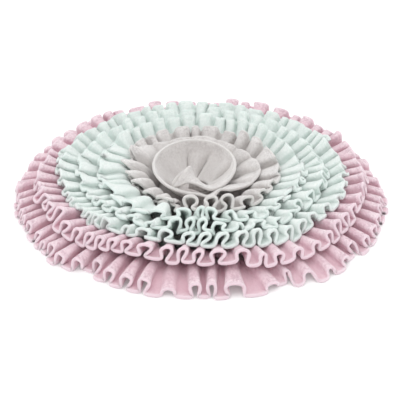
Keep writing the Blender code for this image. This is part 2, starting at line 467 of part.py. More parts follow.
def height_map(sheet):
    """Height that a second cloth's middle needs, over every cell, to lie on this sheet.

    The highest point of the sheet in each cell is grown by a ball of the resting gap.
    """
    fine = np.linspace(0.0, 1.0, MAP_FINE)
    index = np.clip(np.searchsorted(ACROSS, fine, side="right") - 1, 0, len(ACROSS) - 2)
    part = ((fine - ACROSS[index]) / (ACROSS[index + 1] - ACROSS[index]))[None, :, None]
    dense = sheet[:, index] * (1.0 - part) + sheet[:, index + 1] * part
    top = np.full((MAP_TURNS, MAP_RADIUS), -50.0)
    np.maximum.at(top, polar_cells(dense), dense[..., 2])
    grown = top.copy()
    columns = np.arange(MAP_RADIUS)
    cell = (columns + 0.5) * 2.0 * np.pi / MAP_TURNS
    reach = int(REST_GAP)
    for out in range(-reach, reach + 1):
        for along in range(-reach, reach + 1):
            cap = REST_GAP ** 2 - out ** 2 - along ** 2
            if cap < 0.0:
                continue
            turns = (np.arange(MAP_TURNS)[:, None] + np.round(along / cell).astype(int)) % MAP_TURNS
            radii = np.clip(columns + out, 0, MAP_RADIUS - 1)
            grown = np.maximum(grown, top[turns, radii[None, :]] + math.sqrt(cap))
    return grown


def settle(sheet, below, closed):
    """Lift a sheet to where it rests on the sheet below.

    The lift is what the cloth lacks over the height map; it carries on from where it is needed
    out to the free edge, and is evened out along the strip.
    """
    need = height_map(below)[polar_cells(sheet)] - sheet[..., 2]
    lift = np.maximum.accumulate(np.clip(need, 0.0, MOST_LIFT), axis=1)
    for step in (1, 2):
        ahead = np.roll(lift, -step, axis=0)
        behind = np.roll(lift, step, axis=0)
        lift = np.maximum(lift, np.maximum(ahead, behind))
    lift = soften(lift, 2, closed) * np.clip(ACROSS / 0.2, 0.0, 1.0)
    raised = sheet.copy()
    raised[..., 2] = raised[..., 2] + lift
    return raised


# ---- the rosette ---------------------------------------------------------------------------

def smooth_columns(table, place):
    """Read a table's columns between its rows, on a curve that passes through every row."""
    rows = np.array(table)
    at = rows[:, 0]
    slope = np.gradient(rows[:, 1:], at, axis=0)
    index = np.clip(np.searchsorted(at, place, side="right") - 1, 0, len(at) - 2)
    gap = (at[index + 1] - at[index])[:, None]
    u = (place - at[index])[:, None] / gap
    low, high = rows[index, 1:], rows[index + 1, 1:]
    ease = u * u * (3.0 - 2.0 * u)
    bend = u * (1.0 - u) * ((1.0 - u) * slope[index] - u * slope[index + 1]) * gap
    return (low + (high - low) * ease + bend).T


def rosette_sheet():
    """Middle surface of the rosette.

    Each section is a parabola from the seam to the rim that leaves and arrives pointing at the
    bend; the creases are bells along the strip, pressed in square to it, and small gathers
    die away from the seam.
    """
    sections = int(round((ROSETTE[-1][0] - ROSETTE[0][0]) / ROSETTE_STEP)) + 1
    turn = np.linspace(ROSETTE[0][0], ROSETTE[-1][0], sections)
    rim, height, root, seam, bend_r, bend_z = smooth_columns(ROSETTE, turn)
    t = ACROSS[None, :]

    def parabola(first, middle, last):
        return (first[:, None] * (1.0 - t) ** 2 + middle[:, None] * 2.0 * t * (1.0 - t)
                + last[:, None] * t ** 2)

    radius = parabola(root, bend_r, rim)
    z = parabola(seam, bend_z, height)
    out = np.gradient(radius, ACROSS, axis=1)
    up = np.gradient(z, ACROSS, axis=1)
    length = np.hypot(out, up)
    gather = np.clip(t / 0.1, 0.0, 1.0) * (1.0 - t) ** 2 * np.clip(root / 25.0, 0.0, 1.0)[:, None]
    press = 1.3 * gather * np.sin(9.0 * np.radians(turn))[:, None]
    for middle, reach, depth, inner, outer in CREASES:
        bell = np.exp(-((turn - middle) / reach) ** 2)[:, None]
        start = np.clip((t - inner) / 0.2, 0.0, 1.0)
        end = np.clip((outer - t) / 0.3, 0.0, 1.0)
        press = press - depth * bell * start * end
    radius = radius - press * up / length
    z = np.maximum(z + press * out / length, SEAM_LIFT)
    turn = np.radians(turn)[:, None]
    x = ROSETTE_CENTRE[0] + radius * np.cos(turn)
    y = ROSETTE_CENTRE[1] + radius * np.sin(turn)
    return np.stack((x, y, z), axis=2)

# ---- solids --------------------------------------------------------------------------------

def outline(sheet, closed):
    """Section outlines of a sheet's solid: along its upper side, then back along the lower."""
    if closed:
        along = np.roll(sheet, -1, axis=0) - np.roll(sheet, 1, axis=0)
    else:
        along = np.gradient(sheet, axis=0)
    across = np.gradient(sheet, axis=1)
    normal = np.cross(across, along)
    normal = normal / np.linalg.norm(normal, axis=2, keepdims=True)
    offset = normal * CLOTH * 0.5
    return np.concatenate((sheet + offset, (sheet - offset)[:, ::-1]), axis=1) * MM


def loft(name, outlines, closed, material):
    """One solid through a row of like outlines, closed into a ring or capped at both ends.

    Each patch between two sections is split along the same diagonal on the sheet's upper and
    lower side, so that a twisted patch keeps its thickness.
    """
    sections, corners = outlines.shape[:2]
    spans = sections if closed else sections - 1
    first = np.arange(spans)[:, None]
    second = (first + 1) % sections
    here = np.arange(corners)[None, :]
    beside = (here + 1) % corners
    a, b = first * corners + here, first * corners + beside
    c, d = second * corners + beside, second * corners + here
    upper = np.broadcast_to(here < corners // 2, a.shape)[..., None]
    one = np.where(upper, np.stack((a, b, c), axis=2), np.stack((a, b, d), axis=2))
    two = np.where(upper, np.stack((a, c, d), axis=2), np.stack((b, c, d), axis=2))
    faces = np.concatenate((one, two)).reshape(-1, 3).tolist()
    if not closed:
        last = (sections - 1) * corners
        faces.append(list(range(corners - 1, -1, -1)))
        faces.append([last + k for k in range(corners)])
    mesh = bpy.data.meshes.new(name)
    mesh.from_pydata(outlines.reshape(-1, 3).tolist(), [], faces)
    mesh.materials.append(material)
    mesh.shade_smooth()
    mesh.update()
    return bpy.data.objects.new(name, mesh)


def backing(collection, material):
    """The round of cloth under the rings, flat on the floor."""
    bpy.ops.mesh.primitive_cylinder_add(
        vertices=BACKING_SIDES, radius=BACKING_RADIUS * MM, depth=BACKING_THICKNESS * MM,
        location=(0.0, 0.0, BACKING_THICKNESS * 0.5 * MM))
    disc = bpy.context.object
    disc.name = "backing"
    disc.data.name = "backing"
    disc.data.materials.append(material)
    for holder in list(disc.users_collection):
        holder.objects.unlink(disc)
    collection.objects.link(disc)


def ring_sections(name):
    """Fine sections that a ring's solid takes: closer together in the folds at the front."""
    valleys = lobes(name)["edge"][::2] % 360.0
    picked = []
    for fold, valley in enumerate(valleys):
        steps = FRONT_STEPS if FRONT[0] < valley < FRONT[1] else BACK_STEPS
        picked.append(fold * FINE_STEPS + np.arange(0, FINE_STEPS, FINE_STEPS // steps))
    return np.concatenate(picked)


def rosette_sections(count):
    """Fine sections that the rosette's solid takes: closer together among the last petals."""
    change = int(ROSETTE_PETALS - ROSETTE[0][0])
    picked = list(range(0, change, ROSETTE_WIDE)) + list(range(change, count, ROSETTE_CLOSE))
    if picked[-1] != count - 1:
        picked.append(count - 1)
    return picked


def main():
    """Build the mat, from the outermost ring inwards, each strip resting on the last."""
    for old in list(bpy.data.objects):
        bpy.data.objects.remove(old, do_unlink=True)
    collection = bpy.data.collections.new("snuffle_mat")
    bpy.context.scene.collection.children.link(collection)
    cloths = {
        "pink": fleece("pink fleece", PINK),
        "mint": fleece("mint fleece", MINT),
        "grey": fleece("grey fleece", GREY),
    }
    backing(collection, cloths["grey"])
    below = None
    for name, (*_, middle) in RINGS.items():
        sheet = ring_sheet(name)
        if below is not None:
            sheet = settle(sheet, below, True)
        below = sheet
        sections = ring_sections(name)
        stations = [0, MIDDLE, len(ACROSS) - 1] if middle else [0, len(ACROSS) - 1]
        outlines = outline(sheet[sections][:, stations], True)
        collection.objects.link(loft(name, outlines, True, cloths[name.split("_")[0]]))
    sheet = settle(rosette_sheet(), below, False)
    outlines = outline(sheet[rosette_sections(len(sheet))][:, ROSETTE_POINTS], False)
    collection.objects.link(loft("grey_rosette", outlines, False, cloths["grey"]))


main()
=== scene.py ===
"""Looks of the snuffle mat: gathered fleece rings and a rosette on a round of backing cloth.

Every strip is a sheet worked out on a grid: one direction runs along the strip, the other across
it from the seam to the free edge.  Lengths are in millimetres until a mesh is made.  Angles are
measured from +X, anticlockwise seen from above; the front of the mat is at -Y.
"""

import math
from collections import namedtuple

import bmesh
import bpy
import numpy as np
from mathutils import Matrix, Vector


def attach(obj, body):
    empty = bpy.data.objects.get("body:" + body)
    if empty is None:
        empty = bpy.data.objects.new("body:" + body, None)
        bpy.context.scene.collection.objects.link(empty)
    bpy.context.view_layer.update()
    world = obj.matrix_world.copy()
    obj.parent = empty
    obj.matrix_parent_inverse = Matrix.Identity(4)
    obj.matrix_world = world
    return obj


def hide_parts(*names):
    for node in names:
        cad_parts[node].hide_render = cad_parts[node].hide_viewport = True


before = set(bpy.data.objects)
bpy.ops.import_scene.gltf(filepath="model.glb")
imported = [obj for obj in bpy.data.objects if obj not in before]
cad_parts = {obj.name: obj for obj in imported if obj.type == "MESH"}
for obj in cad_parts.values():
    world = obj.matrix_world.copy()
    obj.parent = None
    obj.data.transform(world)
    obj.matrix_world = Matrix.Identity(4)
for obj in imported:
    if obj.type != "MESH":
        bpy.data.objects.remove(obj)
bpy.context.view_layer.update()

MM = 0.001                    # one millimetre in Blender's metres

# ---- sizes ---------------------------------------------------------------------------------

BACKING_RADIUS = 152.0
BACKING_THICKNESS = 3.0
BACKING_SOFTNESS = 1.2        # radius of its rounded rim
CLOTH = 2.5                   # thickness of the fleece
EDGE_PUFF = 0.28              # how much thicker its cut edge is, where the nap stands free
PUFF_FROM = 0.75              # share of the way across the strip where it starts to thicken
EDGE_BULGE = 0.7              # how far the cut edge bulges out, as a share of half its thickness
SEAM_GAP = 0.4                # between the backing and the strips sewn to it
FLOOR_GAP = 0.3               # between the floor and a hem that lies on it
SEAM_LIFT = BACKING_THICKNESS + CLOTH * 0.5 + SEAM_GAP
FLOOR_REST = CLOTH * 0.5 + FLOOR_GAP

# ---- how folds run -------------------------------------------------------------------------
# A ring is a row of lobes, a valley and a crest in turn: two of them make a fold.

STEPS_PER_FOLD = 36           # sections of the grid in one fold
ROOT_SHARE = 0.12             # depth of a fold at the seam, as a share of its depth at the edge
STEEPEST = 3.2                # greatest depth of a fold over the way from its valley to its crest
CURL_ROOM = 0.36              # how far a fold's side may move in, as a share of the fold's width,
NECK = 1.6                    # less this half of what stays open between its two sides,
CURL_MOST = 4.4               # and never more than this
CRISP_HANGING = 0.3           # how abruptly a fold turns into its sides, where it hangs free
CRISP_LYING = 1.6             # and where it lies as a flat pleat
FRONT_FROM = 0.35             # folds hang free from this share of the radius forward of the middle
FRONT_FADE = 0.5              # and all of them do so this much further on
BROAD_FROM = 4.0              # half width of a fold that starts to lie flat
BROAD_FADE = 5.0              # and what it takes more to lie quite flat
SHINGLE = 3.0                 # slant of the pleats that overlap at the sides
SHINGLE_REACH = 0.55          # how far from its crest a pleat slants, in lobes
DROOP_FROM = 0.6              # share of the way across the strip where its edge starts to roll down
WANDER = 5.0                  # how far a fold strays to one side, half way out
GATHER = 1.1                  # height of the small gathers at the seam
GATHER_REACH = 0.4            # share of the strip over which they die away
ARCH_SCALE = 6.75             # makes t * (1 - t)^2 peak at 1, a third of the way out

# How far folds differ.  A fold with a row of its own in the tables differs less: the pairs give
# what it may differ by, and what a fold in a longer stretch may add to that, in millimetres.

FAN_SPREAD = 0.44             # in width at the free edge
CREST_SPREAD = 0.10           # in the place of the crest between two valleys
DEPTH_SPREAD = 0.16           # in depth
LONE_SHARE = 0.3              # share of that which is left to a fold with a row of its own
CURL_SPREAD = 0.12
LEAN_SPREAD = 0.12
LIFT_SPREAD = (0.4, 2.0)
REACH_SPREAD = (0.5, 2.6)

# where the grid's points lie across a strip, from the seam (0) to the free edge (1)
ACROSS = np.array([0.0, 0.05, 0.11, 0.18, 0.26, 0.35, 0.45, 0.55, 0.65, 0.75, 0.84, 0.91, 0.965, 1.0])

# ---- the rings of ruffle -------------------------------------------------------------------
# seed: which run of small irregularities the ring has
# root: radius of the seam; edge: mean radius of the free edge; height: mean height of that edge
# tilt: degrees from upright of the way the folds swing, crests towards the middle of the mat
# droop: how far the edge rolls down; early: power of the way out that the folds' depth grows
# with, so that under 1 they are deep near the seam already; drawn: how far the free edge is drawn
# in at a crest against a valley; cut: length of the strip before it is gathered

Ring = namedtuple("Ring", "seed root edge height tilt droop early drawn cut")

RINGS = {
    #                     seed  root   edge  height tilt  droop early drawn  cut
    "pink_ruffle_1": Ring(11, 150.5, 193.5,  8.0,  8.0, 3.0, 0.60, 5.0, 2320.0),
    "pink_ruffle_2": Ring(12, 138.5, 171.5, 27.0, 16.0, 1.5, 0.90, 2.5, 2280.0),
    "mint_ruffle_1": Ring(13, 121.0, 151.0, 29.5, 16.0, 1.5, 0.90, 2.0, 1620.0),
    "mint_ruffle_2": Ring(14, 100.0, 129.5, 29.5, 16.0, 1.5, 0.90, 2.0, 1360.0),
    "mint_ruffle_3": Ring(15,  79.0, 108.5, 30.0, 16.0, 1.5, 0.90, 2.0, 1160.0),
    "grey_ruffle":   Ring(16,  58.0,  86.0, 29.0, 16.0, 1.5, 0.50, 2.0,  820.0),
}

# One row for each stretch of a ring, up to where the next one starts.
# start: angle of its first valley; folds: folds in it; crest: where each crest stands between
# two valleys; wide: a valley's share of the fold; depth: crest to valley, at the free edge
# curl: how far a fold's sides close in, as a share of its width (over 0.08 they overhang)
# lean: sideways slant of the folds; lift and reach: the edge's height and radius against the mean
# arch: how far the cloth stands above the straight line from seam to edge

STRETCH_COLUMNS = ("start", "folds", "crest", "wide", "depth", "curl", "lean", "lift", "reach", "arch")

STRETCHES = {
    "pink_ruffle_1": [
        # start folds crest wide depth  curl  lean  lift reach  arch
        (  4.0,  6, 0.50, 0.50, 11.0, 0.12,  0.0,  0.5, -1.0,  5.0),
        ( 44.0,  7, 0.50, 0.50, 11.0, 0.12,  0.0,  0.5, -2.0,  5.0),
        ( 86.0,  3, 0.50, 0.50,  8.0, 0.10,  0.0, -1.5, -4.5,  5.0),
        (104.0,  6, 0.50, 0.50, 11.0, 0.12,  0.0,  0.5,  0.5,  5.0),
        (140.0,  6, 0.50, 0.50, 11.0, 0.12,  0.0,  0.5,  0.0,  5.0),
        (180.0,  4, 0.50, 0.62, 13.0, 0.14,  0.0,  0.0,  2.0,  5.0),
        (200.0,  4, 0.45, 0.62, 13.0, 0.14,  0.0,  0.0,  2.0,  5.0),
        (219.0,  1, 0.40, 0.62, 14.0, 0.16,  0.0,  0.0,  2.0,  4.0),
        (224.5,  1, 0.35, 0.62, 14.0, 0.16,  0.0,  0.0,  6.5,  4.0),
        (230.0,  1, 0.45, 0.62, 14.0, 0.16,  0.0,  0.0,  2.5,  4.0),
        (235.4,  1, 0.45, 0.62, 13.0, 0.16,  0.0,  0.0, -8.0,  4.0),
        (240.6,  1, 0.50, 0.62, 14.0, 0.16,  0.0,  0.0, -0.5,  4.0),
        (246.4,  1, 0.40, 0.62, 13.0, 0.16,  0.0,  0.0,  1.5,  4.0),
        (252.3,  1, 0.35, 0.62, 14.0, 0.16,  0.0,  0.0,  2.5,  4.0),
        (257.5,  1, 0.45, 0.62,  7.0, 0.06,  0.0, -1.5,  4.5,  4.0),
        (266.0,  1, 0.58, 0.62, 14.0, 0.16,  0.0,  0.5,  2.5,  4.0),
        (271.0,  1, 0.58, 0.62, 14.0, 0.16,  0.0,  0.5,  1.5,  4.0),
        (275.0,  1, 0.40, 0.62, 14.0, 0.16,  0.0,  0.0,  4.5,  4.0),
        (285.5,  1, 0.55, 0.62,  8.0, 0.08,  0.0, -1.5,  6.0,  4.0),
        (294.0,  1, 0.50, 0.62,  9.0, 0.10,  0.0,  0.5, -3.0,  4.0),
        (297.2,  1, 0.55, 0.62,  8.0, 0.06,  0.0,  0.0,  6.0,  4.0),
        (304.5,  1, 0.55, 0.62,  7.0, 0.06,  0.0, -1.0, 11.5,  4.0),
        (310.4,  1, 0.60, 0.62, 10.0, 0.10,  0.0, -0.5, 10.5,  4.0),
        (317.0,  1, 0.65, 0.62, 14.0, 0.16,  0.0,  0.0,  2.5,  4.0),
        (322.3,  1, 0.65, 0.62, 14.0, 0.16,  0.0,  0.0,  8.0,  4.0),
        (327.7,  1, 0.60, 0.62, 14.0, 0.16,  0.0,  0.0,  7.5,  4.0),
        (334.7,  3, 0.50, 0.62, 13.5, 0.16,  0.0,  0.0,  4.5,  4.0),
        (352.0,  2, 0.50, 0.50, 11.0, 0.12,  0.0,  0.5,  1.5,  5.0),
    ],
    "pink_ruffle_2": [
        (  0.0,  5, 0.50, 0.45, 13.5, 0.14, -0.1,  0.0,  0.5,  6.5),
        ( 32.0,  7, 0.50, 0.34, 10.0, 0.10,  0.0, -1.0, -1.5,  6.5),
        ( 80.0,  4, 0.50, 0.34, 10.0, 0.10,  0.0, -4.5, -5.0,  6.5),
        (105.0,  3, 0.50, 0.34, 10.0, 0.10,  0.0, -1.5, -2.5,  6.5),
        (128.0,  6, 0.50, 0.34, 10.0, 0.10,  0.1, -1.0, -1.5,  6.5),
        (170.0,  2, 0.50, 0.45, 15.5, 0.17,  0.4,  0.0,  0.5,  6.5),
        (183.0,  6, 0.50, 0.48, 14.5, 0.17,  0.4,  0.0,  2.0,  6.5),
        (217.5,  1, 0.50, 0.70, 14.5, 0.19,  0.4, -2.0,  5.0,  6.5),
        (224.0,  1, 0.50, 0.70, 15.0, 0.19,  0.2, -2.0,  5.0,  6.5),
        (229.5,  1, 0.50, 0.70, 14.0, 0.19,  0.2, -1.5,  3.0,  6.5),
        (233.8,  1, 0.50, 0.70, 14.0, 0.19,  0.2, -1.0,  2.0,  6.5),
        (238.2,  1, 0.50, 0.70, 11.0, 0.19,  0.2,  0.5,  0.0,  8.0),
        (242.5,  1, 0.50, 0.70, 11.0, 0.20,  0.2,  1.0, -3.5,  8.0),
        (248.0,  1, 0.50, 0.70, 10.5, 0.20,  0.2,  1.5, -3.0,  8.0),
        (255.5,  1, 0.56, 0.70, 11.0, 0.16,  0.3,  1.5, -3.0,  8.0),
        (262.0,  1, 0.46, 0.70, 13.0, 0.18,  0.3,  1.5, -2.0,  8.0),
        (266.6,  1, 0.50, 0.70, 10.0, 0.17,  0.3,  1.5, -1.0,  8.0),
        (271.7,  1, 0.50, 0.70, 12.0, 0.19,  0.3,  1.5,  0.0,  8.0),
        (279.1,  1, 0.50, 0.70, 10.0, 0.13,  0.3,  1.5,  2.0,  8.0),
        (287.2,  1, 0.50, 0.70,  9.0, 0.11,  0.4, -1.5,  8.0,  8.0),
        (291.2,  1, 0.50, 0.70,  9.5, 0.15,  0.2, -3.0, 10.0,  8.0),
        (297.0,  1, 0.50, 0.70,  8.5, 0.10,  0.4, -3.5, 11.0,  8.0),
        (304.2,  1, 0.50, 0.70,  9.0, 0.12,  0.3, -5.0, 11.0,  6.5),
        (311.2,  1, 0.60, 0.70, 11.0, 0.16,  0.1, -4.0,  9.0,  6.5),
        (317.0,  1, 0.50, 0.70, 16.0, 0.22,  0.1, -3.0,  7.0,  6.5),
        (322.2,  1, 0.50, 0.70, 15.0, 0.22,  0.0, -2.0,  6.0,  6.5),
        (327.8,  1, 0.35, 0.70, 13.0, 0.19,  0.0, -1.0,  6.0,  6.5),
        (336.0,  4, 0.50, 0.60, 12.0, 0.12, -0.1,  0.0,  3.0,  6.5),
    ],
    "mint_ruffle_1": [
        (  0.0,  6, 0.50, 0.36, 10.0, 0.10, -0.1,  0.5,  1.5,  3.0),
        ( 40.0,  7, 0.50, 0.24,  9.0, 0.03,  0.0,  1.5,  0.0,  2.0),
        ( 86.0,  7, 0.50, 0.24,  9.0, 0.03,  0.0,  1.5,  0.0,  2.0),
        (132.0,  6, 0.50, 0.24,  9.0, 0.03,  0.1,  1.5,  0.5,  2.0),
        (170.0,  2, 0.50, 0.42, 14.5, 0.17,  0.4,  0.0,  1.0,  9.0),
        (184.0,  1, 0.50, 0.38, 13.5, 0.15,  0.5,  0.0,  0.0,  9.0),
        (192.0,  1, 0.50, 0.35, 13.5, 0.13,  0.5,  0.0, -2.0,  9.0),
        (202.0,  1, 0.50, 0.50,  9.0, 0.15,  0.3, -1.0, -2.0, 10.0),
        (206.2,  1, 0.48, 0.50,  9.0, 0.12,  0.2, -1.0, -2.0, 10.0),
        (210.6,  1, 0.50, 0.52,  7.0, 0.05,  0.1, -1.0, -2.0, 10.0),
        (215.4,  1, 0.50, 0.52,  8.5, 0.10,  0.1, -1.0, -2.0, 10.0),
        (219.8,  1, 0.48, 0.50, 10.0, 0.15,  0.3, -1.0, -2.0, 10.0),
        (224.0,  1, 0.50, 0.55, 14.0, 0.14,  0.2, -1.0, -1.0, 10.0),
        (228.3,  1, 0.20, 0.72, 15.0, 0.12,  0.1, -1.5, -2.0, 10.0),
        (237.2,  1, 0.62, 0.75, 14.0, 0.10,  0.1, -1.5, -4.0, 10.0),
        (243.0,  1, 0.45, 0.56, 13.0, 0.13,  0.1, -1.0, -6.0,  7.0),
        (252.5,  1, 0.45, 0.70, 18.0, 0.17,  0.1,  1.5, -4.0,  7.0),
        (261.5,  1, 0.70, 0.70, 19.0, 0.18,  0.2,  2.0, -2.0,  7.0),
        (268.0,  1, 0.52, 0.70, 19.0, 0.17,  0.5,  2.0,  1.0,  7.0),
        (274.0,  1, 0.50, 0.70, 19.0, 0.17,  0.5,  2.0,  2.5,  7.0),
        (280.7,  1, 0.58, 0.70, 19.0, 0.16,  0.3,  2.0,  4.0,  7.0),
        (287.8,  1, 0.50, 0.70, 18.0, 0.18,  0.2,  2.0,  4.0,  7.0),
        (293.0,  1, 0.50, 0.70, 17.0, 0.17,  0.2, -1.0,  6.0,  7.0),
        (299.3,  1, 0.60, 0.70, 17.0, 0.17,  0.2, -1.5,  8.0,  7.0),
        (305.3,  1, 0.40, 0.70, 18.0, 0.18,  0.2, -1.0,  8.0,  7.0),
        (312.5,  1, 0.35, 0.70, 16.0, 0.14,  0.0,  0.0,  5.0,  7.0),
        (320.5,  1, 0.30, 0.70, 15.0, 0.12,  0.0,  0.0,  5.0,  7.0),
        (330.0,  1, 0.50, 0.36, 10.0, 0.10,  0.0,  0.0,  6.0,  3.0),
        (337.0,  3, 0.50, 0.36, 10.0, 0.10, -0.1,  0.5,  4.0,  3.0),
    ],
    "mint_ruffle_2": [
        (  0.0,  6, 0.50, 0.36, 10.0, 0.10, -0.1,  0.5,  0.5,  3.0),
        ( 45.0,  6, 0.50, 0.25, 10.0, 0.03,  0.0,  3.0,  0.0,  2.0),
        ( 92.0,  5, 0.50, 0.25, 10.0, 0.03,  0.0,  3.0,  0.0,  2.0),
        (134.0,  3, 0.50, 0.25, 10.0, 0.03,  0.1,  3.0,  0.5,  2.0),
        (163.0,  1, 0.50, 0.38, 13.0, 0.12,  0.3,  0.0,  1.0,  8.0),
        (173.5,  1, 0.50, 0.38, 13.0, 0.10,  0.3,  0.0,  0.5,  8.0),
        (188.5,  1, 0.45, 0.38, 13.0, 0.12,  0.3,  0.0,  0.0,  8.0),
        (203.0,  1, 0.50, 0.50,  7.5, 0.06,  0.1, -1.0,  0.0, 10.0),
        (209.6,  1, 0.50, 0.50,  8.0, 0.08,  0.1, -1.0,  0.0, 10.0),
        (216.0,  1, 0.45, 0.60, 13.5, 0.13,  0.3, -1.0, -1.0, 10.0),
        (225.0,  1, 0.50, 0.55, 12.0, 0.12,  0.2, -1.0, -1.0, 10.0),
        (234.0,  1, 0.45, 0.52, 14.0, 0.13,  0.1, -1.0,  0.0, 10.0),
        (243.5,  1, 0.55, 0.68, 12.0, 0.12,  0.1, -1.0,  0.0, 10.0),
        (252.0,  1, 0.75, 0.72, 17.0, 0.16,  0.2,  3.0, -2.0,  7.0),
        (262.5,  1, 0.60, 0.66, 19.0, 0.22,  0.1,  3.5, -4.0,  7.0),
        (267.8,  1, 0.55, 0.66, 17.0, 0.20,  0.2,  3.0, -3.0,  7.0),
        (273.5,  1, 0.35, 0.66, 15.5, 0.17,  0.2,  3.0,  3.0,  7.0),
        (283.5,  1, 0.50, 0.66, 12.5, 0.08,  0.1,  3.0,  7.0,  7.0),
        (289.5,  1, 0.40, 0.66, 14.5, 0.13,  0.2,  3.0,  9.0,  7.0),
        (299.6,  1, 0.40, 0.66, 15.5, 0.16,  0.2, -0.5, 12.0,  7.0),
        (307.5,  1, 0.40, 0.66, 15.5, 0.16,  0.1,  0.0, 10.0,  7.0),
        (316.0,  5, 0.50, 0.48, 14.0, 0.16,  0.0,  0.0,  3.0,  9.0),
    ],
    "mint_ruffle_3": [
        (  0.0,  4, 0.50, 0.36, 10.0, 0.10, -0.1,  0.0,  0.0,  3.0),
        ( 45.0,  6, 0.50, 0.25, 10.0, 0.03,  0.0,  4.0,  0.0,  2.0),
        ( 92.0,  5, 0.50, 0.25, 10.0, 0.03,  0.0,  4.0,  0.0,  2.0),
        (135.0,  1, 0.50, 0.25, 10.0, 0.03,  0.1,  4.0,  1.0,  2.0),
        (150.0,  2, 0.50, 0.36, 11.5, 0.14,  0.2,  0.0,  1.0, 13.0),
        (172.0,  1, 0.50, 0.36, 13.0, 0.12,  0.4,  0.0,  0.0, 13.0),
        (190.0,  1, 0.50, 0.50,  5.0, 0.05,  0.2, -1.5, -0.5, 13.0),
        (195.0,  1, 0.50, 0.50,  5.5, 0.05,  0.2, -1.5, -0.5, 13.0),
        (200.0,  1, 0.45, 0.38, 13.5, 0.12,  0.3, -0.5,  0.0, 13.0),
        (220.0,  1, 0.55, 0.60, 13.0, 0.10,  0.1, -1.0,  1.0, 13.0),
        (236.0,  1, 0.60, 0.62, 13.0, 0.12,  0.2, -0.5,  2.0, 13.0),
        (255.0,  1, 0.55, 0.66, 19.0, 0.17,  0.0,  0.5,  0.0,  5.0),
        (267.0,  1, 0.60, 0.66, 14.5, 0.17,  0.1,  1.0, -10.0,  5.0),
        (272.8,  1, 0.25, 0.68, 19.0, 0.18,  0.0,  1.0, -7.0,  5.0),
        (281.9,  1, 0.70, 0.72, 15.5, 0.17,  0.0,  0.5,  0.0,  5.0),
        (289.0,  1, 0.55, 0.66, 15.5, 0.16,  0.1,  0.0, 10.0,  5.0),
        (300.0,  1, 0.55, 0.66, 14.5, 0.16,  0.1,  0.0, 12.0,  5.0),
        (309.5,  1, 0.50, 0.66, 14.5, 0.17,  0.1,  0.0,  6.0,  5.0),
        (320.0,  4, 0.50, 0.46, 14.0, 0.16,  0.0,  0.0,  2.0,  9.0),
    ],
    "grey_ruffle": [
        (  6.0,  1, 0.50, 0.36, 11.0, 0.12, -0.2,  0.0, -2.0,  6.0),
        ( 33.0,  4, 0.50, 0.25, 10.0, 0.03, -0.1,  4.0, -3.0,  2.0),
        ( 90.0,  5, 0.50, 0.25, 10.0, 0.03,  0.1,  4.0, -2.0,  2.0),
        (150.0,  1, 0.50, 0.25, 10.0, 0.03,  0.2,  1.5, -1.0,  2.0),
        (164.0,  1, 0.50, 0.50,  6.0, 0.08,  0.1, -8.0, -10.0,  3.0),
        (180.0,  4, 0.50, 0.50,  5.0, 0.06,  0.1, -12.0, -14.0,  1.0),
        (240.0,  1, 0.60, 0.50,  8.0, 0.08,  0.1, -9.0, -10.0,  2.0),
        (255.0,  1, 0.55, 0.56, 19.0, 0.16,  0.0,  1.0, -6.0,  4.0),
        (270.5,  1, 0.60, 0.56, 23.0, 0.20,  0.2,  0.5, -1.0,  4.0),
        (283.0,  1, 0.55, 0.56, 22.0, 0.22,  0.1,  1.0,  0.0,  4.0),
        (294.5,  1, 0.45, 0.56, 15.0, 0.16,  0.1,  0.0,  4.0,  4.0),
        (311.0,  1, 0.50, 0.50, 12.0, 0.13,  0.0,  0.0,  2.0,  6.0),
        (324.0,  1, 0.50, 0.42, 12.0, 0.13,  0.0,  0.0,  0.0,  6.0),
        (338.0,  1, 0.50, 0.38, 11.0, 0.12, -0.1,  0.0, -1.0,  6.0),
    ],
}

# ---- the rosette ---------------------------------------------------------------------------
# One strip wound a little over twice round: a bud, the cup, then a ring of petals.
# turn: angle along the winding; rim and height: where the free edge runs, from the rosette's
# centre; root and seam: radius and height of its sewn edge; bend_r and bend_z: the point that
# the cloth bends towards between the two

ROSETTE_CENTRE = (-6.0, -4.0)
ROSETTE_STEP = 1.0            # degrees from section to section
ROSETTE_CUT = (720.0, 40.0)   # length and width of the strip
ROSETTE_GATHERS = 9.0         # small gathers to a turn
ROSETTE_GATHER = 1.3          # their height, in full
ROSETTE_OPEN = 25.0           # where the seam runs at this radius or further out
ROSETTE_SEWN = 0.1            # share of the strip where the seam holds them flat

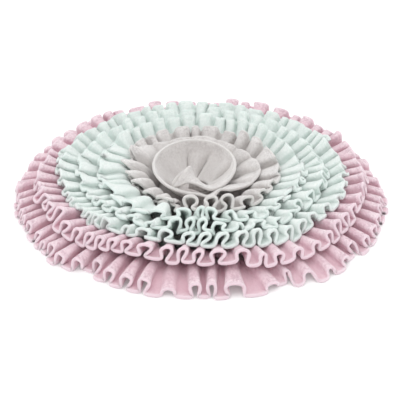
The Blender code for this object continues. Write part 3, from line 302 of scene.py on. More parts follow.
ROSETTE = [
    # turn   rim height  root seam bend_r bend_z
    (219.0, 30.5, 17.5,  7.5, 7.0,  5.0, 50.0),
    (228.0, 30.0, 19.5,  7.0, 7.0,  3.5, 47.0),
    (240.0, 28.0, 22.5,  6.5, 7.0,  2.5, 56.0),
    (253.0, 24.5, 25.0,  6.5, 7.0,  3.0, 44.0),
    (266.0, 25.5, 25.5,  7.0, 7.0,  4.5, 33.0),
    (281.0, 29.5, 24.5,  8.5, 7.0,  7.0, 28.0),
    (299.0, 37.0, 21.5, 11.0, 6.0, 13.0, 21.0),
    (319.0, 40.5, 24.0, 13.0, 5.0, 20.0, 17.0),
    (343.0, 42.5, 29.0, 14.5, 4.7, 27.0, 15.0),
    (363.0, 43.5, 32.0, 15.5, 4.7, 32.0, 13.0),
    (390.0, 45.0, 35.0, 16.0, 4.7, 36.0, 13.0),
    (432.0, 47.0, 38.0, 16.5, 4.7, 39.0, 13.0),
    (468.0, 45.5, 39.0, 17.0, 4.7, 39.0, 13.0),
    (500.0, 44.0, 37.5, 17.5, 4.7, 38.0, 13.0),
    (544.0, 43.5, 33.0, 18.0, 4.7, 34.0, 14.0),
    (584.0, 44.5, 28.5, 19.0, 4.7, 31.0, 11.0),
    (615.0, 46.5, 26.0, 21.0, 4.7, 31.0, 10.0),
    (636.0, 47.0, 24.0, 23.0, 4.7, 31.0, 12.0),
    (652.0, 50.5, 21.5, 25.0, 4.7, 33.0, 14.0),
    (664.0, 48.0, 25.5, 26.5, 4.7, 33.0, 15.0),
    (676.0, 53.5, 24.0, 28.0, 4.7, 33.0, 22.0),
    (697.0, 63.5, 24.5, 31.0, 4.7, 38.0, 24.0),
    (715.0, 69.0, 27.0, 34.0, 4.7, 43.0, 24.0),
    (735.0, 68.5, 29.5, 36.0, 4.7, 46.0, 25.0),
    (754.0, 64.0, 31.0, 37.0, 4.7, 48.0, 25.0),
    (776.0, 66.5, 29.0, 38.0, 4.7, 50.0, 25.0),
    (800.0, 67.0, 32.0, 38.5, 4.7, 50.0, 27.0),
    (826.0, 64.5, 31.5, 39.0, 4.7, 50.0, 27.0),
    (840.0, 66.0, 30.0, 39.5, 4.7, 50.0, 26.0),
    (856.0, 70.5, 32.0, 40.0, 4.7, 50.0, 29.0),
    (868.0, 72.5, 32.0, 40.0, 4.7, 50.0, 34.0),
    (878.0, 73.5, 33.0, 40.5, 4.7, 50.0, 35.0),
    (882.5, 61.0, 20.5, 40.5, 4.7, 48.0, 26.0),
    (889.0, 73.5, 26.5, 40.5, 4.7, 49.0, 31.0),
    (897.5, 75.0, 30.0, 41.0, 4.7, 49.0, 33.0),
    (901.5, 62.0, 19.5, 41.0, 4.7, 48.0, 24.0),
    (907.0, 70.5, 25.0, 41.0, 4.7, 49.0, 30.0),
    (912.5, 71.5, 28.5, 41.5, 4.7, 49.0, 32.0),
    (916.0, 61.0, 19.0, 41.5, 4.7, 48.0, 23.0),
    (922.0, 69.5, 24.5, 41.5, 4.7, 49.0, 30.0),
    (929.0, 70.0, 28.0, 42.0, 4.7, 49.0, 32.0),
    (933.0, 60.0, 18.0, 42.0, 4.7, 49.0, 22.0),
    (940.0, 68.0, 23.0, 42.5, 4.7, 49.0, 28.0),
    (947.0, 70.0, 26.5, 43.0, 4.7, 50.0, 30.0),
    (951.0, 62.0, 18.5, 43.0, 4.7, 50.0, 22.0),
    (958.0, 71.5, 25.0, 43.0, 4.7, 50.0, 29.0),
    (963.0, 68.5, 20.0, 43.5, 4.7, 51.0, 24.0),
    (968.0, 71.5, 22.0, 43.5, 4.7, 51.0, 26.0),
    (972.0, 70.0, 20.0, 43.5, 4.7, 51.0, 23.0),
]

# Soft troughs pressed into the rosette, or ridges where the depth is below zero.
# turn: middle at the rim; reach and tail: half width on the near and on the far side of it, in
# degrees; depth; inner and outer: where it starts and dies out across the strip; skew: degrees
# that it stands further round at the seam

CREASE_START = 0.2            # share of the strip over which a crease sets in
CREASE_END = 0.3              # and over which it dies out

CREASES = [
    # turn  reach  tail depth inner outer  skew
    (372.0,  4.0,  4.0,  3.5,  0.05, 0.95, 14.0),
    (384.0,  8.0,  8.0, -2.0,  0.20, 0.95, 14.0),
    (345.0,  9.0,  9.0, -1.6,  0.20, 0.90, 10.0),
    (419.0,  4.5,  4.5,  5.0,  0.00, 0.85, 26.0),
    (438.0,  8.0,  8.0, -3.0,  0.10, 0.80, 16.0),
    (459.0,  4.0,  4.0,  4.5,  0.00, 0.80,  6.0),
    (485.0, 11.0, 11.0, -2.0,  0.10, 0.80,  0.0),
    (549.0,  6.0,  6.0,  3.0,  0.00, 0.60,  0.0),
    (700.0,  9.0,  2.0,  3.0,  0.10, 1.10,  0.0),
    (722.0, 10.0,  1.6,  5.0,  0.10, 1.30,  6.0),
    (744.0,  8.0,  1.6,  4.5,  0.10, 1.30,  4.0),
    (766.0,  8.0,  1.6,  4.0,  0.10, 1.30,  0.0),
    (788.0,  4.0,  4.0,  3.0,  0.10, 1.10,  0.0),
    (812.0,  1.6,  6.0,  3.5,  0.10, 1.10,  0.0),
    (834.0,  1.6,  6.0,  3.5,  0.10, 1.10,  0.0),
    (852.0,  1.6,  8.0,  3.5,  0.10, 1.30,  0.0),
    (880.0,  9.0,  1.4, -4.0,  0.35, 1.30,  3.0),
    (899.5,  8.0,  1.4, -4.0,  0.35, 1.30,  3.0),
    (914.5,  7.0,  1.4, -3.5,  0.35, 1.30,  3.0),
    (931.0,  8.0,  1.4, -3.5,  0.35, 1.30,  3.0),
    (949.0,  7.0,  1.4, -3.0,  0.35, 1.30,  3.0),
    (961.0,  4.0,  1.4, -2.0,  0.35, 1.30,  0.0),
]

# ---- shapes of the folds -------------------------------------------------------------------

def soften(values, reach, closed):
    """Average along the strip with a bell of the given reach in sections."""
    offsets = np.arange(-2 * reach, 2 * reach + 1)
    weights = np.exp(-0.5 * (offsets / reach) ** 2)
    weights = weights / weights.sum()
    mode = "wrap" if closed else "edge"
    padded = np.pad(values, ((2 * reach, 2 * reach), (0, 0)), mode=mode)
    return sum(w * padded[k:k + len(values)] for k, w in enumerate(weights))


def lobes(name):
    """The folds of one ring as columns with two entries to a fold: its valley, then its crest.

    Folds of one stretch differ in width and depth; a fold that has a stretch of its own keeps
    close to the table's values.  No fold is deeper than STEEPEST times half its width.  At the
    seam the folds stand almost evenly.
    """
    ring = RINGS[name]
    rng = np.random.default_rng(ring.seed)
    table = dict(zip(STRETCH_COLUMNS, np.array(STRETCHES[name]).T))
    folds = table["folds"].astype(int)
    stretch = np.repeat(np.arange(len(folds)), folds)
    loose = np.where(folds[stretch] > 1, 1.0, 0.0)
    start = table["start"][0]
    spans = np.diff(np.append(table["start"], start + 360.0))
    width = 1.0 + loose * FAN_SPREAD * rng.uniform(-1.0, 1.0, len(stretch))
    width = width * (spans / np.add.reduceat(width, np.cumsum(folds) - folds))[stretch]
    valley = start + np.cumsum(width) - width
    shift = loose * CREST_SPREAD * rng.uniform(-1.0, 1.0, len(stretch))
    crest = valley + width * (table["crest"][stretch] + shift)
    centre = np.stack((valley, crest), axis=1).ravel()

    row = {column: np.repeat(values[stretch], 2) for column, values in table.items()}
    uneven = rng.uniform(-1.0, 1.0, (6, len(centre)))
    loose = np.repeat(loose, 2)
    side = np.where(np.arange(len(centre)) % 2 == 0, -0.5, 0.5)
    room = np.diff(np.append(centre, centre[0] + 360.0)) * np.pi / 180.0 * ring.edge
    room = np.minimum(room, np.roll(room, 1))
    share = LONE_SHARE + (1.0 - LONE_SHARE) * loose
    depth = row["depth"] * (1.0 + share * DEPTH_SPREAD * uneven[0])
    even = centre[0] + np.arange(len(centre)) * 360.0 / len(centre)
    return {
        "edge": centre,
        "seam": even + soften((centre - even)[:, None], 3, True)[:, 0],
        "wide": row["wide"],
        "level": side * np.minimum(depth, STEEPEST * room),
        "curl": row["curl"] * (1.0 + CURL_SPREAD * uneven[1]),
        "lean": row["lean"] + LEAN_SPREAD * uneven[2],
        "lift": row["lift"] + (LIFT_SPREAD[0] + LIFT_SPREAD[1] * loose) * uneven[3],
        "reach": (row["reach"] + (REACH_SPREAD[0] + REACH_SPREAD[1] * loose) * uneven[5]
                  - side * ring.drawn),
        "arch": row["arch"],
        "wander": soften(uneven[4][:, None], 2, True)[:, 0],
    }


def lean_towards(part, lobe, wide):
    """Shift the way between two lobes, so that valleys take the share `wide` and crests the rest."""
    swell = (2.0 * wide[lobe] - 1.0) * np.where(lobe % 2 == 0, 1.0, -1.0)
    return part + swell * part * (1.0 - part)


def blend(values, phase):
    """Value along a closed ring: one value for each lobe, joined by half cosines."""
    lobe = np.floor(phase).astype(int)
    part = (1.0 - np.cos(np.pi * (phase - lobe))) * 0.5
    return values[lobe] + (np.roll(values, -1)[lobe] - values[lobe]) * part


def pleat(values, phase, wide, crisp):
    """Height along a ring, from lobe to lobe as the hyperbolic tangent of a cosine.

    `crisp` is what the cosine is multiplied by: the more, the flatter the crests and valleys and
    the steeper the sides between them.
    """
    lobe = np.floor(phase).astype(int)
    steep = crisp[lobe]
    part = 0.5 - 0.5 * np.tanh(steep * np.cos(np.pi * (phase - lobe))) / np.tanh(steep)
    part = lean_towards(part, lobe, 1.0 - wide)
    return values[lobe] + (np.roll(values, -1)[lobe] - values[lobe]) * part


def shingle(centre, phase):
    """Slant of each crest, in millimetres: its side towards the front lies over the next fold.

    It is the way from the crest times a bell of that way, most at the back of the mat.
    """
    away = phase - (2.0 * np.floor(phase * 0.5) + 1.0)
    facing = -np.cos(np.radians(centre[np.floor(phase).astype(int)]))
    return SHINGLE * facing * away * np.exp(-(away / SHINGLE_REACH) ** 2)


def turn_at(centre, wide, phase):
    """Angle along a ring, from the angles of its lobes."""
    lobe = np.floor(phase).astype(int)
    ends = np.append(centre, centre[0] + 360.0)
    return ends[lobe] + (ends[lobe + 1] - ends[lobe]) * lean_towards(phase - lobe, lobe, wide)


def flatness(centre, room):
    """Steepness of the folds' sides: the wide folds at the back and the sides lie as flat plates."""
    hanging = np.clip((-FRONT_FROM - np.sin(np.radians(centre))) / FRONT_FADE, 0.0, 1.0)
    broad = np.clip((room - BROAD_FROM) / BROAD_FADE, 0.0, 1.0)
    return CRISP_HANGING + (CRISP_LYING - CRISP_HANGING) * (1.0 - hanging) * broad


def ring_sheet(name):
    """Middle surface of one ring, sections by points across the strip.

    The seam and the mean free edge are two circles.  Along the ring the cloth swings to and fro
    across the line between them, as pleat() gives it, and sideways by
    curl * width * sin(2 * angle of the fold), so that deep folds close in on themselves, yet
    never so far that the two sides of a fold touch.
    Both swings grow from the seam to the free edge, as a power of the way out.  Between seam and
    edge the cloth arches up by t * (1 - t)^2, which peaks a third of the way out, its last part
    rolls down by a square, small gathers die away from the seam, and each fold wanders a little
    to one side.
    """
    ring = RINGS[name]
    lobe = lobes(name)
    phase = np.arange(len(lobe["edge"]) * STEPS_PER_FOLD // 2) * 2.0 / STEPS_PER_FOLD
    index = np.floor(phase).astype(int)
    at_seam = turn_at(lobe["seam"], lobe["wide"] * 0.0 + 0.5, phase)[:, None]
    at_edge = turn_at(lobe["edge"], lobe["wide"], phase)[:, None]
    span = np.diff(np.append(lobe["edge"], lobe["edge"][0] + 360.0)) * 2.0 * np.pi / 180.0 * ring.edge
    t = ACROSS[None, :]

    crisp = flatness(lobe["edge"], span * 0.5)
    swing = pleat(lobe["level"], phase, lobe["wide"], crisp)
    swing = (swing + shingle(lobe["edge"], phase))[:, None]
    room = np.clip(CURL_ROOM * span - NECK, 0.0, CURL_MOST)
    side = np.minimum(lobe["curl"] * span, room)[index] * np.sin(2.0 * np.pi * phase)
    side = side[:, None] + blend(lobe["lean"], phase)[:, None] * swing
    growth = ROOT_SHARE + (1.0 - ROOT_SHARE) * t ** ring.early
    wander = blend(lobe["wander"], phase)[:, None]
    drift = wander * WANDER * np.sin(np.pi * t)

    run = (ring.edge + blend(lobe["reach"], phase) - ring.root)[:, None]
    rise = (ring.height + blend(lobe["lift"], phase) - SEAM_LIFT)[:, None]
    slope = np.arctan2(rise, run)
    gather = np.clip(1.0 - t / GATHER_REACH, 0.0, 1.0) ** 2
    arch = blend(lobe["arch"], phase)[:, None] * ARCH_SCALE * t * (1.0 - t) ** 2
    arch = arch + GATHER * gather * np.sin(4.0 * np.pi * phase[:, None] + 3.0 * wander)
    tilt = math.radians(ring.tilt)
    radius = ring.root + run * t - np.sin(slope) * arch - math.sin(tilt) * swing * growth
    z = SEAM_LIFT + rise * t + np.cos(slope) * arch + math.cos(tilt) * swing * growth
    z = z - ring.droop * np.clip((t - DROOP_FROM) / (1.0 - DROOP_FROM), 0.0, 1.0) ** 2
    z = np.maximum(z, np.where(radius > BACKING_RADIUS, FLOOR_REST, SEAM_LIFT))
    turn = np.radians(at_seam + (at_edge - at_seam) * t) + (side * growth * t + drift) / radius
    return np.stack((radius * np.cos(turn), radius * np.sin(turn), z), axis=2)


# ---- resting on the ring below -------------------------------------------------------------

MAP_TURNS = 2400              # cells of the height map round the mat
MAP_RADIUS = 220              # and outwards, 1 mm each
MAP_FINE = 64                 # points across a strip when it is drawn into the map
BARE = -50.0                  # height of a cell that holds no cloth
REST_GAP = CLOTH + 0.4        # from the middle of one cloth to the middle of the next
MOST_LIFT = 12.0              # what a sheet is lifted by at most
SEWN_SHARE = 0.2              # share of the strip that its seam keeps from being lifted in full


def polar_cells(sheet):
    """Cells of the height map that the sheet's points fall in."""
    angle = np.arctan2(sheet[..., 1], sheet[..., 0]) / (2.0 * np.pi) % 1.0
    radius = np.hypot(sheet[..., 0], sheet[..., 1])
    turn_cell = (angle * MAP_TURNS).astype(int) % MAP_TURNS
    return turn_cell, np.clip(radius.astype(int), 0, MAP_RADIUS - 1)


def height_map(sheet):
    """Height that a second cloth's middle needs, over every cell, to lie on this sheet.

    The highest point of the sheet in each cell is grown by a ball of the resting gap.
    """
    fine = np.linspace(0.0, 1.0, MAP_FINE)
    index = np.clip(np.searchsorted(ACROSS, fine, side="right") - 1, 0, len(ACROSS) - 2)
    part = ((fine - ACROSS[index]) / (ACROSS[index + 1] - ACROSS[index]))[None, :, None]
    dense = sheet[:, index] * (1.0 - part) + sheet[:, index + 1] * part
    top = np.full((MAP_TURNS, MAP_RADIUS), BARE)
    np.maximum.at(top, polar_cells(dense), dense[..., 2])
    grown = top.copy()
    columns = np.arange(MAP_RADIUS)
    cell = (columns + 0.5) * 2.0 * np.pi / MAP_TURNS
    reach = int(REST_GAP)
    for out in range(-reach, reach + 1):
        for along in range(-reach, reach + 1):
            cap = REST_GAP ** 2 - out ** 2 - along ** 2
            if cap < 0.0:
                continue
            turns = (np.arange(MAP_TURNS)[:, None] + np.round(along / cell).astype(int)) % MAP_TURNS
            radii = np.clip(columns + out, 0, MAP_RADIUS - 1)
            grown = np.maximum(grown, top[turns, radii[None, :]] + math.sqrt(cap))
    return grown


def settle(sheet, below, closed):
    """Lift a sheet to where it rests on the sheet below.

    The lift is what the cloth lacks over the height map; it carries on from where it is needed
    out to the free edge and to the sections beside, and is evened out along the strip.
    """
    need = height_map(below)[polar_cells(sheet)] - sheet[..., 2]
    lift = np.maximum.accumulate(np.clip(need, 0.0, MOST_LIFT), axis=1)
    for step in (1, 2):
        ahead = np.roll(lift, -step, axis=0)
        behind = np.roll(lift, step, axis=0)
        lift = np.maximum(lift, np.maximum(ahead, behind))
    lift = soften(lift, 2, closed) * np.clip(ACROSS / SEWN_SHARE, 0.0, 1.0)
    raised = sheet.copy()
    raised[..., 2] = raised[..., 2] + lift
    return raised


# ---- winding the rosette -------------------------------------------------------------------

def smooth_columns(table, place):
    """Read a table's columns between its rows, on a cubic curve that passes through every row."""
    rows = np.array(table)
    at = rows[:, 0]
    slope = np.gradient(rows[:, 1:], at, axis=0)
    index = np.clip(np.searchsorted(at, place, side="right") - 1, 0, len(at) - 2)
    gap = (at[index + 1] - at[index])[:, None]
    u = (place - at[index])[:, None] / gap
    low, high = rows[index, 1:], rows[index + 1, 1:]
    ease = u * u * (3.0 - 2.0 * u)
    bend = u * (1.0 - u) * ((1.0 - u) * slope[index] - u * slope[index + 1]) * gap
    return (low + (high - low) * ease + bend).T


def parabola(first, middle, last):
    """A value across the strip, for each section: it leaves and arrives pointing at `middle`."""
    t = ACROSS[None, :]
    return (first[:, None] * (1.0 - t) ** 2 + middle[:, None] * 2.0 * t * (1.0 - t)
            + last[:, None] * t ** 2)


def rosette_sheet():
    """Middle surface of the rosette.

    Each section is a parabola from the seam to the rim that leaves and arrives pointing at the
    bend; the creases are bells along the strip, pressed in square to it, and small gathers
    die away from the seam.
    """
    sections = int(round((ROSETTE[-1][0] - ROSETTE[0][0]) / ROSETTE_STEP)) + 1
    turn = np.linspace(ROSETTE[0][0], ROSETTE[-1][0], sections)
    rim, height, root, seam, bend_r, bend_z = smooth_columns(ROSETTE, turn)
    t = ACROSS[None, :]
    radius = parabola(root, bend_r, rim)
    z = parabola(seam, bend_z, height)
    out = np.gradient(radius, ACROSS, axis=1)
    up = np.gradient(z, ACROSS, axis=1)
    length = np.hypot(out, up)
    gather = np.clip(t / ROSETTE_SEWN, 0.0, 1.0) * (1.0 - t) ** 2
    gather = gather * np.clip(root / ROSETTE_OPEN, 0.0, 1.0)[:, None]
    press = ROSETTE_GATHER * gather * np.sin(ROSETTE_GATHERS * np.radians(turn))[:, None]
    for middle, reach, tail, depth, inner, outer, skew in CREASES:
        away = turn[:, None] - middle - skew * (1.0 - t)
        bell = np.exp(-(away / np.where(away < 0.0, reach, tail)) ** 2)
        start = np.clip((t - inner) / CREASE_START, 0.0, 1.0)
        end = np.clip((outer - t) / CREASE_END, 0.0, 1.0)
        press = press - depth * bell * start * end
    radius = radius - press * up / length
    z = np.maximum(z + press * out / length, SEAM_LIFT)
    turn = np.radians(turn)[:, None]
    x = ROSETTE_CENTRE[0] + radius * np.cos(turn)
    y = ROSETTE_CENTRE[1] + radius * np.sin(turn)
    return np.stack((x, y, z), axis=2)


# ---- meshes --------------------------------------------------------------------------------

FOLD_SHADE_RANGE = 12.0            # from the bottom of a fold to its top, for the painted shade in the folds and the painted light on the crests
PAINTED_LIGHT_FROM = 0.7              # share of the way across the strip where the painted shade near the seam starts to give way to painted light
SEAM_LIGHT_SHARE = 0.35            # how much painted light the crests keep nearer the seam, against the free edge
EDGE_TURNS = np.radians([36.0, 66.0, 90.0, 114.0, 144.0])    # points round a cut edge
DISC_SIDES = 180
DISC_RINGS = 24
DISC_HOLE = 0.02              # share of the radius left open in the middle, then filled
RIM_STEPS = 6                 # points round half of the rounded rim


def fill_mesh(name, points, quads, uv, cut, crest):
    """A smooth mesh object from arrays: its cloth map, its cut edge and how far out it stands, for the
    painted light on the crests and the painted shade in the folds.
    """
    mesh = bpy.data.meshes.new(name)
    mesh.vertices.add(len(points))
    mesh.vertices.foreach_set("co", (points * MM).ravel())
    mesh.loops.add(quads.size)
    mesh.loops.foreach_set("vertex_index", quads.ravel())
    mesh.polygons.add(len(quads))
    mesh.polygons.foreach_set("loop_start", np.arange(len(quads)) * 4)
    mesh.update(calc_edges=True)
    mesh.shade_smooth()
    layer = mesh.uv_layers.new(name="cloth")
    layer.data.foreach_set("uv", uv.ravel())
    for mark, values in (("cut_edge", cut), ("crest", crest)):
        layer = mesh.attributes.new(name=mark, type="FLOAT", domain="POINT")
        layer.data.foreach_set("value", values)
    mesh.validate()
    piece = bpy.data.objects.new(name, mesh)
    bpy.context.scene.collection.objects.link(piece)
    return piece


def thicken(sheet, closed):
    """Outline of the cloth's every section, from its middle surface.

    It goes out along the upper side, round the cut edge as a squared half circle,
    (cos^4 + sin^4)^(-1/4) from its middle, and back along the lower side.  Towards the free edge
    the cloth thickens by a square.
    """
    if closed:
        along = np.roll(sheet, -1, axis=0) - np.roll(sheet, 1, axis=0)
    else:
        along = np.gradient(sheet, axis=0)
    across = np.gradient(sheet, ACROSS, axis=1)
    normal = np.cross(across, along)
    normal = normal / np.linalg.norm(normal, axis=2, keepdims=True)
    outward = across[:, -1:] / np.linalg.norm(across[:, -1:], axis=2, keepdims=True)
    puff = 1.0 + EDGE_PUFF * np.clip((ACROSS - PUFF_FROM) / (1.0 - PUFF_FROM), 0.0, 1.0) ** 2
    half = CLOTH * 0.5 * puff[None, :, None]
    cosine, sine = np.cos(EDGE_TURNS)[None, :, None], np.sin(EDGE_TURNS)[None, :, None]
    squared = (np.abs(cosine) ** 4 + sine ** 4) ** -0.25
    way = normal[:, -1:] * cosine + outward * sine * EDGE_BULGE
    lip = sheet[:, -1:] + half[:, -1:] * squared * way
    upper = sheet + normal * half
    lower = (sheet - normal * half)[:, ::-1]
    return np.concatenate((upper, lip, lower), axis=1)


def lay_map(sheet, outline, first, here):
    """The map on the cloth, in metres: along the strip, and round its section."""
    rim = np.linalg.norm(np.diff(sheet[:, -1], axis=0), axis=1)
    along = np.concatenate(([0.0], np.cumsum(rim)))
    along = np.concatenate((along, [along[-1] + rim[-1]]))
    pitch = np.linalg.norm(np.diff(outline, axis=1), axis=2).mean(axis=0)
    across = np.concatenate(([0.0], np.cumsum(pitch), [pitch.sum() + CLOTH]))
    u = np.stack((along[first], along[first], along[first + 1], along[first + 1]), axis=2)
    v = np.stack((across[here], across[here + 1], across[here + 1], across[here]), axis=2)
    shape = (first.size, here.size, 4)
    return np.stack((np.broadcast_to(u, shape), np.broadcast_to(v, shape)), axis=3) * MM


def cloth(name, sheet, closed):
    """Solid cloth round a middle surface, as one closed mesh."""
    outline = thicken(sheet, closed)
    sections, corners = outline.shape[:2]
    first = np.arange(sections if closed else sections - 1)[:, None]
    here = np.arange(corners)[None, :]
    second, beside = (first + 1) % sections, (here + 1) % corners
    quads = np.stack((first * corners + here, first * corners + beside,
                      second * corners + beside, second * corners + here), axis=2)
    quads, uv = quads.reshape(-1, 4), lay_map(sheet, outline, first, here).reshape(-1, 2)
    if not closed:
        quads, uv = cap_ends(quads, uv, sections, corners)

    mark = np.zeros(corners)
    mark[len(ACROSS) - 1:len(ACROSS) + len(EDGE_TURNS) + 1] = 1.0
    # Painted light and shade: the crest mark is high on the crests and towards the free edge, low down
    # in the folds and near the seam, and the finish paints it pale or dark.
    above = outline[:, :, 2] - soften(outline[:, :, 2], STEPS_PER_FOLD // 2, closed)
    out = np.clip((ACROSS - PAINTED_LIGHT_FROM) / (1.0 - PAINTED_LIGHT_FROM), 0.0, 1.0)
    out = np.concatenate((out, np.ones(len(EDGE_TURNS)), out[::-1]))
    crest = np.clip(0.5 + above / FOLD_SHADE_RANGE, 0.0, 1.0)
    crest = crest * (SEAM_LIGHT_SHARE + (1.0 - SEAM_LIGHT_SHARE) * out[None, :])
    return fill_mesh(name, outline.reshape(-1, 3), quads, uv, np.tile(mark, sections), crest.ravel())


def cap_ends(quads, uv, sections, corners):
    """Close both ends of a strip: quads between points that face each other over the cloth."""
    k = np.arange(corners // 2 - 1)
    facing = corners - 1 - k
    start = np.stack((k, facing, facing - 1, k + 1), axis=1)
    end = (sections - 1) * corners + start[:, ::-1]
    caps = np.concatenate((start, end))
    return np.concatenate((quads, caps)), np.concatenate((uv, np.zeros((caps.size, 2))))


def disc(name, radius, thickness, softness):
    """Round cloth lying flat: a profile turned about the middle, with a rounded rim."""
    angles = np.linspace(0.0, 2.0 * np.pi, DISC_SIDES, endpoint=False)
    inner = np.linspace(DISC_HOLE, 1.0, DISC_RINGS) * (radius - softness)
    bend = np.radians(np.linspace(90.0, 0.0, RIM_STEPS))[1:]
    shoulder = radius - softness + softness * np.cos(bend)
    rise = thickness - softness + softness * np.sin(bend)
    profile_r = np.concatenate((inner, shoulder, shoulder[::-1], inner[::-1]))
    flat = np.full(len(inner), thickness)
    profile_z = np.concatenate((flat, rise, thickness - rise[::-1], thickness - flat))
    x = np.cos(angles)[:, None] * profile_r
    y = np.sin(angles)[:, None] * profile_r
    z = np.broadcast_to(profile_z, x.shape)
    sections, corners = x.shape
    here = np.arange(corners - 1)[None, :]
    first = np.arange(sections)[:, None]
    second = (first + 1) % sections
    quads = np.stack((first * corners + here, first * corners + here + 1,
                      second * corners + here + 1, second * corners + here), axis=2)
    points = np.stack((x, y, z), axis=2).reshape(-1, 3)
    quads = quads.reshape(-1, 4)
    uv = points[quads.ravel(), :2] * MM
    piece = fill_mesh(name, points, quads, uv, np.zeros(len(points)), np.ones(len(points)))
    return close_holes(piece)


def close_holes(piece):
    """Fill the two small holes in the middle of a turned piece."""
    work = bmesh.new()
    work.from_mesh(piece.data)
    rims = [edge for edge in work.edges if edge.is_boundary]
    bmesh.ops.holes_fill(work, edges=rims)
    bmesh.ops.recalc_face_normals(work, faces=work.faces)
    work.to_mesh(piece.data)
    work.free()
    return piece


# ---- finishes ------------------------------------------------------------------------------
# body: tops of the tufts; shade: between them; deep: painted shade down in the folds and near the
# seam; cut: the cut edge

FLEECES = {
    #        body       shade      deep       cut
    "pink": ("#F2E2E7", "#CDB3BD", "#DEBCC6", "#E6D0D8"),
    "mint": ("#EFF4F1", "#D6E0DC", "#E0EAE6", "#DEE9E5"),
    "grey": ("#EAE8E7", "#C5C1C0", "#D3CFCD", "#D6D3D1"),
}
BACKING = ("#C9C4C2", "#BDB7B5", "#C3BDBA", "#D6D1CF")    # plain fleece, a tone darker as painted shade where it shows in the gaps between the rings
TUFT = 0.0028                 # metres; drawn at twice its real size, which the render can show
PATCH = 0.014                 # metres; where a hand has brushed the nap one way
NAP = 0.0008                  # metres; height of the tufts
PILE = 0.004                  # metres that light spreads in the pile
TUFT_WEIGHT = 1.4             # how much more than the patches the tufts mottle the colour
MOTTLE = (0.98, 1.36)         # sum of the two that shows the shade, and that shows the body


def linear(code):
    """Linear colour of an sRGB hex value."""
    channels = np.array([int(code[k:k + 2], 16) for k in (1, 3, 5)]) / 255.0
    low = channels / 12.92
    high = ((channels + 0.055) / 1.055) ** 2.4
    return (*np.where(channels <= 0.04045, low, high), 1.0)


def node(tree, kind, settings=None, links=None, **inputs):
    """Add a node: settings are its own values, inputs its socket values, links its wires in."""
    item = tree.nodes.new(kind)
    for key, value in (settings or {}).items():
        setattr(item, key, value)
    for key, value in inputs.items():
        item.inputs[key.replace("_", " ")].default_value = value
    for key, source in (links or {}).items():
        tree.links.new(source, item.inputs[key])
    return item


def fleece(name, body, shade, deep, cut):
    """Brushed polyester fleece: knitted, then raised to a short nap and sheared.

    The nap lies in small tufts of 1 to 3 mm, which mottle the colour and break up the light,
    and its loose fibres catch light at a glancing angle.  Down in the folds and near the seam the
    colour is painted darker and fuller, as painted shade where light goes to and fro between the
    walls, and the crests are painted paler, as painted light.  The cut edge shows the paler core.
    """
    material = bpy.data.materials.new(name)
    material.use_nodes = True
    tree = material.node_tree
    tree.nodes.clear()
    place = node(tree, "ShaderNodeUVMap", {"uv_map": "cloth"}).outputs["UV"]
    tufts = node(tree, "ShaderNodeTexNoise", links={"Vector": place},
                 Scale=1.0 / TUFT, Detail=4.0, Roughness=0.62)
    patches = node(tree, "ShaderNodeTexNoise", links={"Vector": place},
                   Scale=1.0 / PATCH, Detail=2.0, Roughness=0.5)
    mottle = node(tree, "ShaderNodeMath", {"operation": "MULTIPLY_ADD"},
                  {0: tufts.outputs["Fac"], 2: patches.outputs["Fac"]})
    mottle.inputs[1].default_value = TUFT_WEIGHT
    spread = node(tree, "ShaderNodeMapRange", links={"Value": mottle.outputs["Value"]},
                  From_Min=MOTTLE[0], From_Max=MOTTLE[1])
    colour = node(tree, "ShaderNodeMix", {"data_type": "RGBA"},
                  {"Factor": spread.outputs["Result"]})
    colour.inputs["A"].default_value = linear(shade)
    colour.inputs["B"].default_value = linear(body)
    # painted shade: the crest mark mixes the deep colour into the folds and near the seam, and leaves
    # the crests pale as painted light
    crest = node(tree, "ShaderNodeAttribute", {"attribute_name": "crest"})
    fold_shaded = node(tree, "ShaderNodeMix", {"data_type": "RGBA"},
                  {"Factor": crest.outputs["Fac"], "B": colour.outputs["Result"]})
    fold_shaded.inputs["A"].default_value = linear(deep)
    edge = node(tree, "ShaderNodeAttribute", {"attribute_name": "cut_edge"})
    worn = node(tree, "ShaderNodeMix", {"data_type": "RGBA"},
                {"Factor": edge.outputs["Fac"], "A": fold_shaded.outputs["Result"]})
    worn.inputs["B"].default_value = linear(cut)
    bump = node(tree, "ShaderNodeBump", links={"Height": tufts.outputs["Fac"]},
                Strength=1.0, Distance=NAP)
    shader = node(tree, "ShaderNodeBsdfPrincipled", None,
                  {"Base Color": worn.outputs["Result"], "Normal": bump.outputs["Normal"]},
                  Roughness=0.95, Sheen_Weight=0.12, Sheen_Roughness=0.45, Specular_IOR_Level=0.15,
                  Subsurface_Weight=0.8, Subsurface_Scale=PILE, Subsurface_Radius=(1.0, 1.0, 1.0))
    node(tree, "ShaderNodeOutputMaterial", None, {"Surface": shader.outputs["BSDF"]})
    return material


# ---- putting the mat together --------------------------------------------------------------

def dress(piece, material, slot, nodes, **sheet):
    """Give a piece its finish and its body, and hide the parts of the model that it stands for."""
    piece.data.materials.append(material)
    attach(piece, "root")
    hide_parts(*nodes)


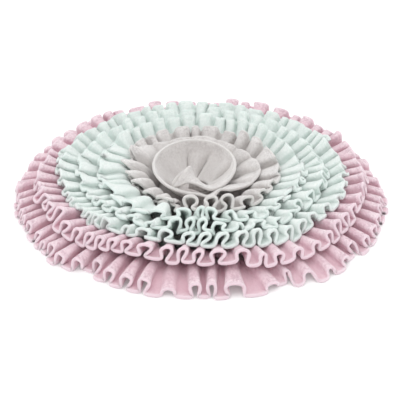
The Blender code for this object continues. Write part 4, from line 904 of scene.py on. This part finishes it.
def build_mat():
    """All the cloth, from the outermost ring inwards, each ring resting on the last."""
    fleeces = {name: fleece(name + " brushed fleece", *tones) for name, tones in FLEECES.items()}
    base = disc("backing_cloth", BACKING_RADIUS, BACKING_THICKNESS, BACKING_SOFTNESS)
    area = math.pi * (BACKING_RADIUS * MM) ** 2
    size = 2.0 * BACKING_RADIUS * MM
    dress(base, fleece("backing cloth", *BACKING), "backing_cloth",
          ["backing"], flat=(size, size), held="laid", area=area)
    below = None
    for name, ring in RINGS.items():
        sheet = ring_sheet(name)
        if below is not None:
            sheet = settle(sheet, below, True)
        below = sheet
        piece = cloth(name + "_cloth", sheet, True)
        colour = name.split("_")[0]
        width = np.linalg.norm(np.diff(sheet, axis=1), axis=2).sum(axis=1).mean()
        dress(piece, fleeces[colour], colour + "_fleece", [name],
              flat=(ring.cut * MM, width * MM), held="gathered", rests_on=["backing_cloth"])
    sheet = settle(rosette_sheet(), below, False)
    piece = cloth("grey_rosette_cloth", sheet, False)
    length, width = ROSETTE_CUT
    dress(piece, fleeces["grey"], "grey_fleece", ["grey_rosette"],
          flat=(length * MM, width * MM), held="gathered", rests_on=["backing_cloth"])


# ---- setting -------------------------------------------------------------------------------
# Lengths here are in metres, and powers in watts.

CAMERA_TILT = math.radians(30.3)
CAMERA_DISTANCE = 1.1
LENS_RATIO = 1010.0 / 400.0   # focal length over the frame's width
AIM = (0.0, -0.0218, 0.0)
SENSOR = 36.0                 # millimetres
SURROUND = 0.97               # strength of the even white light from all sides
FLOOR_DROP = 0.0002           # how far the floor lies below the mat
FLOOR_SIDE = 6.0
FLOOR_GLOW = 0.12

LIGHTS = {
    # name    place            side power
    "key": ((-0.6, -0.3, 1.6), 1.2, 3.6),
    "top": ((0.6, 0.5, 1.8), 1.6, 4.0),
}


def place_facing(name, data, place, target):
    """Add a camera or a light that looks from its place at the target."""
    holder = bpy.data.objects.new(name, data)
    holder.location = place
    look = Vector(target) - Vector(place)
    holder.rotation_euler = look.to_track_quat("-Z", "Y").to_euler()
    bpy.context.scene.collection.objects.link(holder)
    return holder


def add_camera():
    """A long lens in front of the mat and above it."""
    camera = bpy.data.cameras.new("camera")
    camera.sensor_width = SENSOR
    camera.lens = SENSOR * LENS_RATIO
    away = Vector((0.0, -math.cos(CAMERA_TILT), math.sin(CAMERA_TILT)))
    bpy.context.scene.camera = place_facing("camera", camera, away * CAMERA_DISTANCE, AIM)


def add_setting():
    """White studio: a pale floor, an even white surround and soft light from above."""
    world = bpy.data.worlds.new("studio")
    world.use_nodes = True
    background = world.node_tree.nodes["Background"]
    background.inputs["Color"].default_value = (1.0, 1.0, 1.0, 1.0)
    background.inputs["Strength"].default_value = SURROUND
    bpy.context.scene.world = world
    bpy.context.scene.view_settings.view_transform = "Standard"
    bpy.ops.mesh.primitive_plane_add(size=FLOOR_SIDE, location=(0.0, 0.0, -FLOOR_DROP))
    floor = bpy.context.object
    floor.name = "floor"
    paper = bpy.data.materials.new("white paper")    # matt, and lit to near white all over
    paper.use_nodes = True
    shader = paper.node_tree.nodes["Principled BSDF"]
    shader.inputs["Base Color"].default_value = linear("#F8F8F8")
    shader.inputs["Roughness"].default_value = 0.9
    shader.inputs["Emission Color"].default_value = (1.0, 1.0, 1.0, 1.0)
    shader.inputs["Emission Strength"].default_value = FLOOR_GLOW
    floor.data.materials.append(paper)
    for name, (place, side, power) in LIGHTS.items():
        light = bpy.data.lights.new(name, "AREA")
        light.size = side
        light.energy = power
        place_facing(name, light, place, (0.0, 0.0, 0.0))


build_mat()
add_camera()
add_setting()
